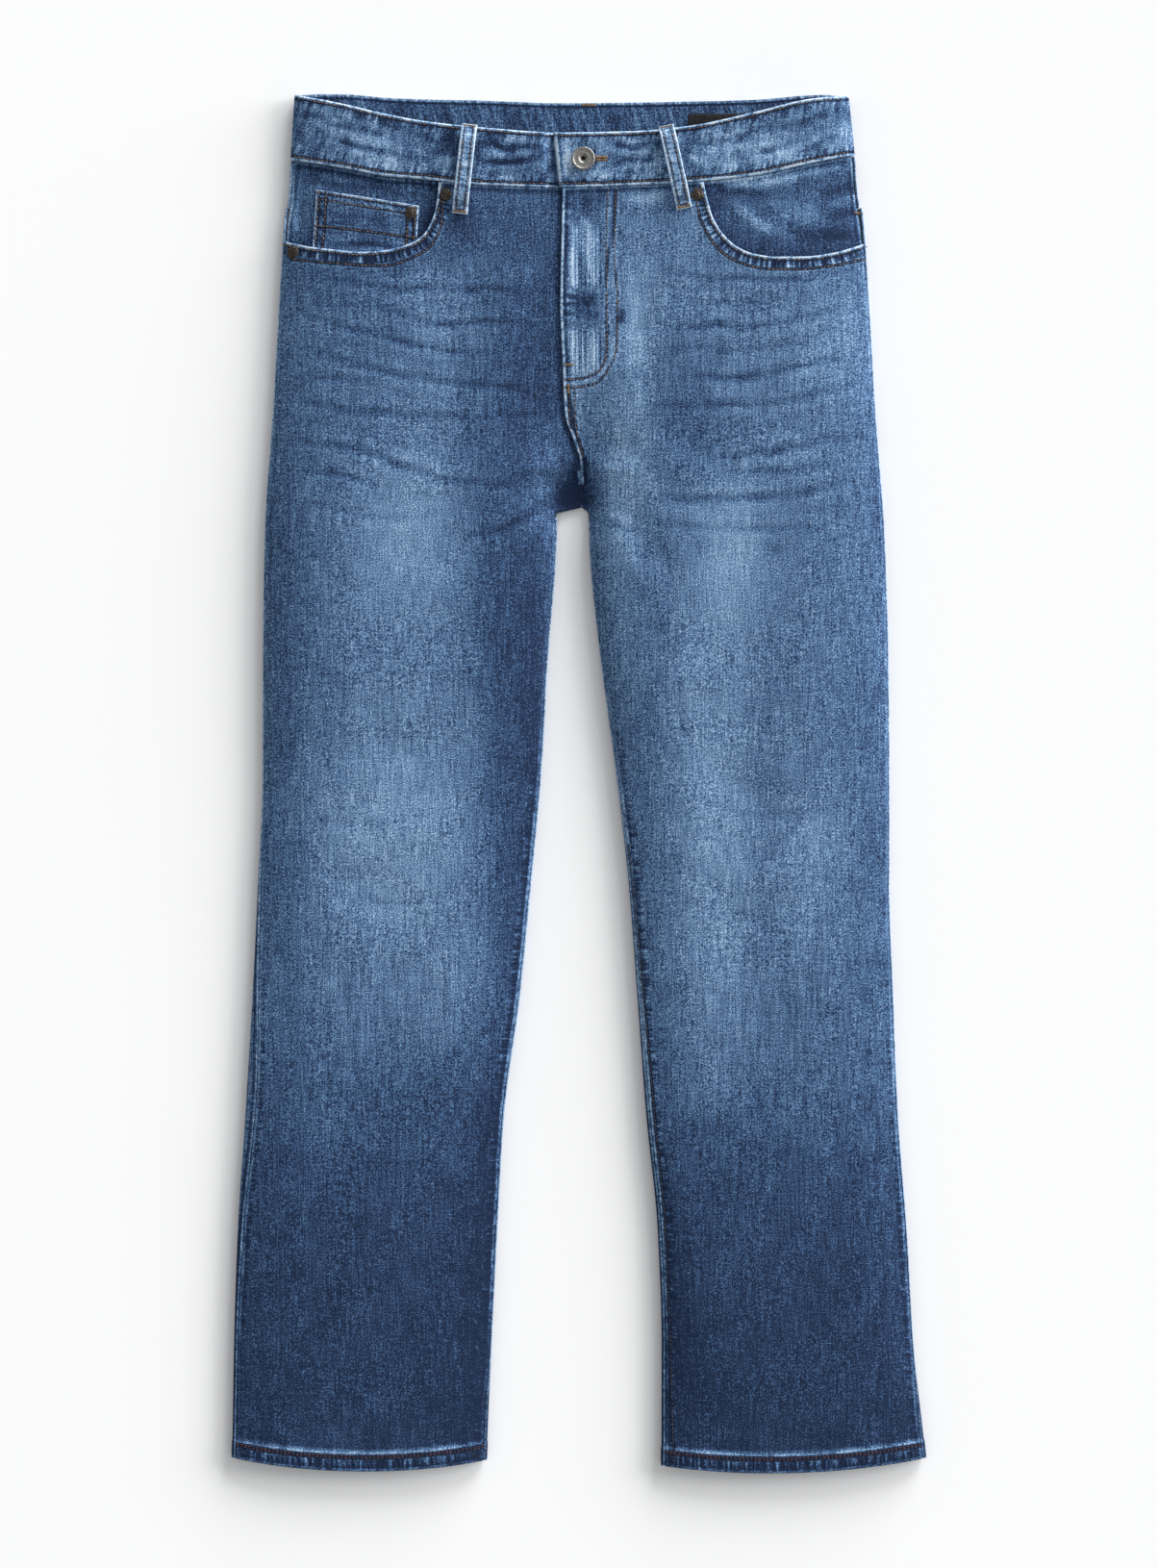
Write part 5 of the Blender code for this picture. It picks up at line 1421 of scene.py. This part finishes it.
def waistband():
    share = edgeSpread(30, 0.02)
    points, normals = bandGrid(share)
    x, y = points[..., 0], points[..., 1]
    height = np.linalg.norm(points[-1] - points[0], axis=-1)[None]
    fromLow, fromTop = share[:, None] * height, (1.0 - share[:, None]) * height
    middle = points[len(share) // 2 - 1]
    reach = np.concatenate(([0.0], np.cumsum(np.linalg.norm(np.diff(middle, axis=0), axis=-1))))[None]
    fromEnds = np.minimum(reach, reach[:, -1:] - reach)
    edge = np.minimum.reduce([fromLow, fromTop, fromEnds + 0.0 * fromLow])
    front = normals[..., 2] > 0.3
    buttonX, buttonY = bandSettings["buttonAt"]
    clear = ease(np.hypot(x - buttonX, y - buttonY), 10.0, 20.0)
    for loopX in (-91.0, 76.0):
        clear = clear * ease(np.abs(x - loopX), 6.0, 14.0)
    pucker = 0.28 * softNoise(reach + 0.25 * y, y, 5.5, 16.0, 61) * clear * front
    wave = 0.35 * softNoise(reach, y, 30.0, 30.0, 62) * clear * front
    slanted = creased(x, y, bandCreases) * front
    relief = (pucker + wave) * ease(edge, 0.0, 3.0) - rounded(edge, bandSettings["turning"])
    relief = relief + 0.45 * slanted * clear
    outer = points + normals * relief[..., None]
    inner = points - normals * bandSettings["wall"]
    lowRow, topRow = bandSettings["rows"]
    drawn = 1.0 - ease(fromLow, 5.0, 12.0) * ease(fromTop, 5.0, 12.0)
    fields = {"tone": bandTone(x, y, reach, front, slanted), "seam": edge, "worn": 0.85,
              "stitch": np.minimum(np.abs(fromLow - lowRow), np.abs(fromTop - topRow)),
              "along": reach + 0.35 * y, "pucker": (0.25 + 0.75 * drawn) * ease(edge, 1.2, 3.0)}
    band = makeShell("cloth_waistband", outer, inner, normals, [denim, wovenBandInside()], fields)
    cutKeyhole(band)
    crested = points + normals * (0.45 * slanted * clear)[..., None]
    for place, other, depth in ((crested[0], crested[-1], lowRow), (crested[-1], crested[0], topRow)):
        row = place + unit(other - place) * depth + normals[0] * 0.1
        for part in (front & (x < -24.0), front & (x > -18.0) & (reach > 600.0), normals[..., 2] < -0.9):
            sewing["band"].append(row[part[len(share) // 2 - 1]])
    return show(band, "waistband")


def wovenBandInside():
    # the inside of the band is the same washed cloth, worn less
    material, tree, shader = newMaterial("band_inside", clothFinish)
    seam, stitch, along = (attributeOf(tree, label) for label in ("seam", "stitch", "along"))
    useGroup(tree, stonewash, shader, 0.5, Tone=0.17, Seam=seam, Worn=0.5, Pucker=0.5, Along=along,
             Stitch=stitch)
    return material


def overBand(x, y):
    # height of the outer face of the band
    return float(topHeight(np.array(x), np.array(y))) + bandSettings["stand"]


def cutKeyhole(band):
    x0, y0 = bandSettings["buttonAt"]
    half, radius, length = keyhole["half"], keyhole["radius"], keyhole["length"]
    angles = np.linspace(half / radius, 2 * pi - half / radius, 25)
    outline = [(x0 + length, y0 - half), (x0 + length, y0 + half)]
    outline += [(x0 + radius * np.cos(a), y0 + radius * np.sin(a)) for a in angles]
    top = overBand(x0, y0)
    count = len(outline)
    points = [(px * mm, py * mm, z * mm) for z in (top - keyhole["below"], top + keyhole["above"])
              for px, py in outline]
    faces = [list(range(count))[::-1], list(range(count, 2 * count))]
    faces += [[k, (k + 1) % count, count + (k + 1) % count, count + k] for k in range(count)]
    mesh = bpy.data.meshes.new("keyhole")
    mesh.from_pydata(points, [], faces)
    cutter = newObject("keyhole", mesh, [])
    change = band.modifiers.new("keyhole", "BOOLEAN")
    change.operation, change.solver, change.object = "DIFFERENCE", "EXACT", cutter
    bakeModifiers(band)
    bpy.data.objects.remove(cutter)


def bakeModifiers(piece):
    bpy.context.view_layer.update()
    evaluated = piece.evaluated_get(bpy.context.evaluated_depsgraph_get())
    mesh = bpy.data.meshes.new_from_object(evaluated)
    piece.modifiers.clear()
    piece.data = mesh


waistband()
print("waistband ready")


# Belt loops and label

loopPlaces = {"right": (-95.5, -87.5, 454.7, 525.6), "left": (84.2, 69.5, 458.9, 524.6)}
# distance along a front loop, from its lower end and from its upper one, and its height over the front
loopLifts = ((0, 0.5), (5, 0.5), (9, 2.6), (14, 5.2), (22, 6))
loopTopLifts = ((-14, 6), (-7, 5), (-2.5, 3), (0, 1.5))
loopSize = {
    "width": 12.5,
    "wall": 1.6,
    "row": 2.4,  # the stitches, from the edge
    "rowOffsets": (-3.6, 3.6),
    "tackHalf": 5.2,
    "tackInset": 2.2,
    "turning": 0.6,
}
backLoopCut = {"wall": 1.4, "low": 478.0, "high": 544.0, "tackInset": 2.4, "tone": 0.38}
backLoopPlaces = {"right": -150.0, "center": -5.0, "left": 140.0}


def frontLoop(wearer):
    xLow, xHigh, yLow, yHigh = loopPlaces[wearer]
    length, wall = yHigh - yLow, loopSize["wall"]
    rows = list(loopLifts) + [(length + d, lift) for d, lift in loopTopLifts]
    distance = edgeSpread(44) * length
    share = distance / length
    centre = np.stack([mix(xLow, xHigh, share), mix(yLow, yHigh, share)], -1)
    z = topHeight(centre[:, 0], centre[:, 1]) + curve(rows, distance)
    centre = np.column_stack([centre, z])
    path = unit(np.gradient(centre, axis=0))
    across = unit(np.column_stack([path[:, 1], -path[:, 0], 0.0 * z]))
    up = np.cross(across, path)
    v = (edgeSpread(10, 0.04) - 0.5) * loopSize["width"]
    fromSide = 0.5 * loopSize["width"] - np.abs(v)[None]
    edge = np.minimum(fromSide, np.minimum(distance, length - distance)[:, None])
    belly = wall + 0.12 * softNoise(v[None] * 2, distance[:, None], 4.0, 5.0, 71)
    belly = belly - rounded(edge, loopSize["turning"])
    flat = centre[:, None] + across[:, None] * v[None, :, None]
    outer = flat + up[:, None] * belly[..., None]
    tone = 0.60 + 0.06 * bell(fromSide, 1.4) + 0.20 * softNoise(v[None], distance[:, None], 3.0, 4.0, 72)
    fields = {"tone": tone, "seam": edge, "stitch": np.abs(edge - loopSize["row"]), "worn": 0.6,
              "pucker": 0.8 * ease(edge, 1.0, 2.5), "along": distance[:, None]}
    piece = makeShell("cloth_loop_" + wearer, outer, flat, np.broadcast_to(up[:, None], outer.shape),
                      [denim, reverseDenim], fields)
    for offset in loopSize["rowOffsets"]:
        row = centre + across * offset + up * (wall + 0.08)
        sewing["band"].append(row[4:-4])
    for at in (loopSize["tackInset"], length - loopSize["tackInset"]):
        k = int(np.abs(distance - at).argmin())
        reach = np.array((-1.0, 1.0))[:, None] * loopSize["tackHalf"]
        sewing["tacks"].append(centre[k] + across[k] * reach + up[k] * (wall + 0.05))
    return show(piece, "belt_loop_front_" + wearer)


def backLoop(place, x0):
    low, high, half = backLoopCut["low"], backLoopCut["high"], 0.5 * loopSize["width"]
    x, y, edge = oblong(x0 - half, x0 + half, low, high, 8, 20, 0.04)
    heights, stitch = (0.0, backLoopCut["wall"]), np.abs(edge - loopSize["row"])
    flatPatch("cloth_loop_back_" + place, x, y, heights, edge, stitch, backLoopCut["tone"], False,
              [denim, reverseDenim], "belt_loop_back_" + place)
    for level in (low + backLoopCut["tackInset"], high - backLoopCut["tackInset"]):
        ends = [(x0 - loopSize["tackHalf"], level, 0.0), (x0 + loopSize["tackHalf"], level, 0.0)]
        sewing["tacks"].append(np.array(ends))


for wearer in ("right", "left"):
    frontLoop(wearer)
for place, x0 in backLoopPlaces.items():
    backLoop(place, x0)

labelCut = {"left": 87.8, "right": 144.8, "low": 502.0, "high": 536.4, "heights": (4.9, 5.7)}


def waistLabel():
    x, y, edge = oblong(labelCut["left"], labelCut["right"], labelCut["low"], labelCut["high"], 14, 10)
    flatPatch("cloth_label", x, y, labelCut["heights"], edge, 60.0, 0.0, True, [labelCloth, labelCloth],
              "waist_label")


waistLabel()


# Zip, hidden under the fly

zipCut = {
    "low": 338.0,
    "high": 470.0,
    "left": -9.0,  # its edges from the edge of the fly
    "right": 17.0,
    "face": -5.2,  # its heights under the front
    "back": -6.6,
    "teeth": (4.0, -4.9, 344.0, 464.0),  # from the edge of the fly, under the front, from and up to a level
}


def flyZip():
    share, across = edgeSpread(20)[:, None], edgeSpread(6)[None]
    y = mix(zipCut["low"], zipCut["high"], share) + 0.0 * across
    x = flyEdge(y) + mix(zipCut["left"], zipCut["right"], across)
    outer, inner = laidOn(x, y, zipCut["face"]), laidOn(x, y, zipCut["back"])
    piece = makeShell("cloth_zip_tape", outer, inner, topNormal(x, y), [zipTape], {"tone": 0.0})
    return show(piece, "fly_zip")


flyZip()


# Metal

# radius and height; the button's profile follows its foot
buttonProfile = (
    (2.4, 0), (8.5, 0), (9.1, 0.3), (9.4, 0.9), (9.4, 2.1), (9.2, 2.8), (8.8, 3.25), (8.3, 3.35), (7.9, 3.2),
    (7.6, 2.9), (7.3, 2.8), (5.2, 2.85), (4.0, 2.95), (3.5, 2.8), (3.2, 2.3), (2.5, 2.0), (2.0, 1.9),
    (1.85, 1.6), (1.8, -1.4), (0, -1.5),
)
rivetProfile = (
    (0, 0), (4.6, 0), (4.75, 0.2), (4.65, 0.5), (4.3, 0.8), (3.7, 0.95), (3.3, 0.85), (3.0, 0.8), (2.5, 1.0),
    (2.0, 1.3), (1.3, 1.45), (0.6, 1.4), (0, 1.36),
)
# x, y and height over the front
rivets = {
    "rivet_coin_pocket": (-134.5, 455.6, -1.3),
    "rivet_pocket_right_outer": (-229.0, 424.4, 0.4),
    "rivet_pocket_right_inner": (-106.6, 470.0, 0.4),
    "rivet_pocket_left_inner": (94.4, 470.2, 0.4),
}
buttonCut = {"steps": 56, "hollow": 1.84, "hollowFloor": 1.6}


def waistButton():
    x, y = bandSettings["buttonAt"]
    base = overBand(x, y) + garment["gap"]
    foot = -bandSettings["drop"]
    profile = ((0, foot), (2.4, foot)) + buttonProfile
    piece = turnedMesh("metal_button", profile, buttonCut["steps"], (x, y, base), (0, 0, 1), nickel)
    piece.data.materials.append(bronze)
    # the faces inside the hollow take the dark bronze: painted shade in the hole
    for face in piece.data.polygons:
        hollow = np.hypot(face.center.x - x * mm, face.center.y - y * mm) < buttonCut["hollow"] * mm
        face.material_index = int(hollow and face.center.z > (base - buttonCut["hollowFloor"]) * mm)
    return show(piece, "waist_button")


def addRivet(node, x, y, lift):
    x, y = np.array(x), np.array(y)
    piece = turnedMesh("metal_" + node, rivetProfile, 32, laidOn(x, y, lift), topNormal(x, y), bronze)
    return show(piece, node)


waistButton()
for node, (x, y, lift) in rivets.items():
    addRivet(node, x, y, lift)
print("small pieces ready")


# Sewing

def stitchTree():
    # repeats a stitch along every line of a mesh of edges
    tree = bpy.data.node_groups.new("stitch_rows", "GeometryNodeTree")
    tree.is_modifier = True

    def socket(label, kind, direction="INPUT"):
        return tree.interface.new_socket(label, in_out=direction, socket_type="NodeSocket" + kind).identifier

    def randomOf(**limits):
        return addNode(tree, "FunctionNodeRandomValue", {"data_type": "FLOAT"}, Seed=given.outputs["Seed"],
                       **limits).outputs[1]
    socket("Geometry", "Geometry")
    kinds = {"Pitch": "Float", "Stitch Length": "Float", "Thread Thickness": "Float", "Turn": "Float",
             "Seed": "Int", "Material": "Material"}
    sockets = {label: socket(label, kind) for label, kind in kinds.items()}
    socket("Geometry", "Geometry", "OUTPUT")
    given, result = tree.nodes.new("NodeGroupInput"), tree.nodes.new("NodeGroupOutput")
    line = addNode(tree, "GeometryNodeMeshToCurve", None, Mesh=given.outputs["Geometry"]).outputs["Curve"]
    along = addNode(tree, "GeometryNodeCurveToPoints", {"mode": "LENGTH"}, Curve=line,
                    Length=given.outputs["Pitch"])
    facingWay = addNode(tree, "FunctionNodeAlignRotationToVector", {"axis": "X"},
                        Vector=along.outputs["Tangent"])
    turn = calc(tree, "ADD", randomOf(i2=-0.09, i3=0.09), given.outputs["Turn"])
    euler = addNode(tree, "ShaderNodeCombineXYZ", None, Z=turn).outputs[0]
    spin = addNode(tree, "FunctionNodeEulerToRotation", None, Euler=euler).outputs[0]
    rotation = addNode(tree, "FunctionNodeRotateRotation", {"rotation_space": "GLOBAL"},
                       Rotation=facingWay.outputs[0], Rotate_By=spin).outputs[0]
    length = product(tree, given.outputs["Stitch Length"], randomOf(i2=0.84, i3=1.08), 0.5)
    thick = product(tree, given.outputs["Thread Thickness"], 0.5)
    size = addNode(tree, "ShaderNodeCombineXYZ", None, X=length, Y=thick, Z=product(tree, thick, 0.8))
    ball = addNode(tree, "GeometryNodeMeshUVSphere", None, Segments=6, Rings=5, Radius=1.0).outputs["Mesh"]
    placed = addNode(tree, "GeometryNodeInstanceOnPoints", None, Points=along.outputs["Points"],
                     Instance=ball, Rotation=rotation, Scale=size.outputs[0]).outputs["Instances"]
    marked = addNode(tree, "GeometryNodeStoreNamedAttribute", {"data_type": "FLOAT", "domain": "INSTANCE"},
                     Geometry=placed, Name="threadTone", Value=randomOf()).outputs["Geometry"]
    whole = addNode(tree, "GeometryNodeRealizeInstances", None, Geometry=marked).outputs["Geometry"]
    finished = addNode(tree, "GeometryNodeSetMaterial", None, Geometry=whole,
                       Material=given.outputs["Material"])
    tree.links.new(finished.outputs["Geometry"], result.inputs["Geometry"])
    return tree, sockets


def sew(name, lines, settings, tree, sockets):
    points, edges = [], []
    for line in [line for line in lines if len(line) > 1]:
        edges += [(len(points) + k, len(points) + k + 1) for k in range(len(line) - 1)]
        points += (np.asarray(line) * mm).tolist()
    mesh = bpy.data.meshes.new(name)
    mesh.from_pydata(points, edges, [])
    rows = newObject(name, mesh, [])
    change = rows.modifiers.new("stitches", "NODES")
    change.node_group = tree
    for label, value in settings.items():
        change[sockets[label]] = value
    bakeModifiers(rows)
    rows.data.shade_smooth()
    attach(rows, "root")


def threadCut(pitch, length, thickness, turn=0.0):
    sizes = {"Pitch": pitch, "Stitch Length": length, "Thread Thickness": thickness}
    return {label: size * mm for label, size in sizes.items()} | {"Turn": turn}


topstitch = threadCut(3.2, 2.85, 0.95)
tack = threadCut(0.5, 2.6, 0.6, 0.5 * pi)
zipTeeth = threadCut(1.9, 4.4, 1.1, 0.5 * pi)
threadOfRows = {
    "legs": (topstitch, legThread),
    "hems": (topstitch, hemThread),
    "front": (topstitch, seamThread),
    "band": (topstitch, seamThread),
    "back": (topstitch, seamThread),
    "tacks": (tack, tackThread),
    "zip": (zipTeeth, brass),
}
# bar tacks on the fly and at the left pocket's outer end: x, y of both ends, and height over the front
frontTacks = (
    ((-11.6, 334.2), (-4.6, 334.2), 0.75),
    ((-8.5, 318.5), (-8.5, 312.0), 0.75),
    ((221.0, 456.6), (227.5, 456.6), -1.2),
)
# the one of the centre loop, through the band
centreTack = ((2.6, 543.5, 4.65), (13.4, 543.5, 4.65))
keyholeTacks = {"from": 9.6, "to": 19.6, "level": 0.1, "offsets": (-1.2, 1.2)}

for start, end, lift in frontTacks:
    x, y = np.array((start, end)).T
    sewing["tacks"].append(laidOn(x, y, lift))
sewing["tacks"].append(np.array(centreTack))
x0, y0 = bandSettings["buttonAt"]
slit = np.array([(x0 + keyholeTacks[end], y0 + keyholeTacks["level"]) for end in ("from", "to")])
for offset in keyholeTacks["offsets"]:
    line = spaced(slit + (0.0, offset), 1.0)
    sewing["tacks"].append(laidOn(line[:, 0], line[:, 1], bandSettings["stand"] + 0.1))
teethAt, teethHeight, teethLow, teethHigh = zipCut["teeth"]
levels = np.linspace(teethLow, teethHigh, 60)
sewing["zip"] = [laidOn(flyEdge(levels) + teethAt, levels, teethHeight)]
tree, sockets = stitchTree()
for seed, (name, lines) in enumerate(sewing.items()):
    cut, thread = threadOfRows[name]
    sew("stitches_" + name, lines, {**cut, "Material": thread, "Seed": seed + 1}, tree, sockets)
print("sewing ready")


# Floor, light and camera

studio = {
    "floorHalf": 6.0,
    "floorLevel": -0.0003,
    "paper": {"Base Color": (0.9, 0.905, 0.91, 1), "Roughness": 0.8, "Specular IOR Level": 0.1},
    "lights": {"light_right": 20.0, "light_top": 62.0},  # the turn of each from +X, in degrees
    "rise": 11.5,
    "width": 34.0,
    "strength": 4.45,
    "sky": 0.5,
    "lens": 100.0,
    "cameraAt": (-0.000385, -0.00077, 3.496),
}
half, level = studio["floorHalf"], studio["floorLevel"]
floorMesh = bpy.data.meshes.new("floor")
corners = [(x * half, y * half, level) for x, y in ((-1, -1), (1, -1), (1, 1), (-1, 1))]
floorMesh.from_pydata(corners, [], [(0, 1, 2, 3)])
floor = newObject("floor", floorMesh, [newMaterial("white_surface", studio["paper"])[0]])


def softbox(name, turn):
    # a wide, even light from far away
    data = bpy.data.lights.new(name, "SUN")
    data.energy, data.angle = studio["strength"], radians(studio["width"])
    lamp = bpy.data.objects.new(name, data)
    lamp.rotation_euler = (0.0, radians(90.0 - studio["rise"]), radians(turn))
    bpy.context.scene.collection.objects.link(lamp)
    return lamp


lamps = [softbox(name, turn) for name, turn in studio["lights"].items()]
world = bpy.data.worlds.new("studio")
world.use_nodes = True
sky = world.node_tree.nodes["Background"].inputs
sky["Color"].default_value, sky["Strength"].default_value = (1.0, 1.0, 1.0, 1.0), studio["sky"]
scene = bpy.context.scene
scene.world = world
scene.view_settings.view_transform = "Standard"
lens = bpy.data.cameras.new("camera")
lens.lens, lens.sensor_width, lens.sensor_fit = studio["lens"], 36.0, "AUTO"
lens.clip_start, lens.clip_end = 0.1, 20.0
camera = bpy.data.objects.new("camera", lens)
camera.location = studio["cameraAt"]
scene.collection.objects.link(camera)
scene.camera = camera
print("studio ready")
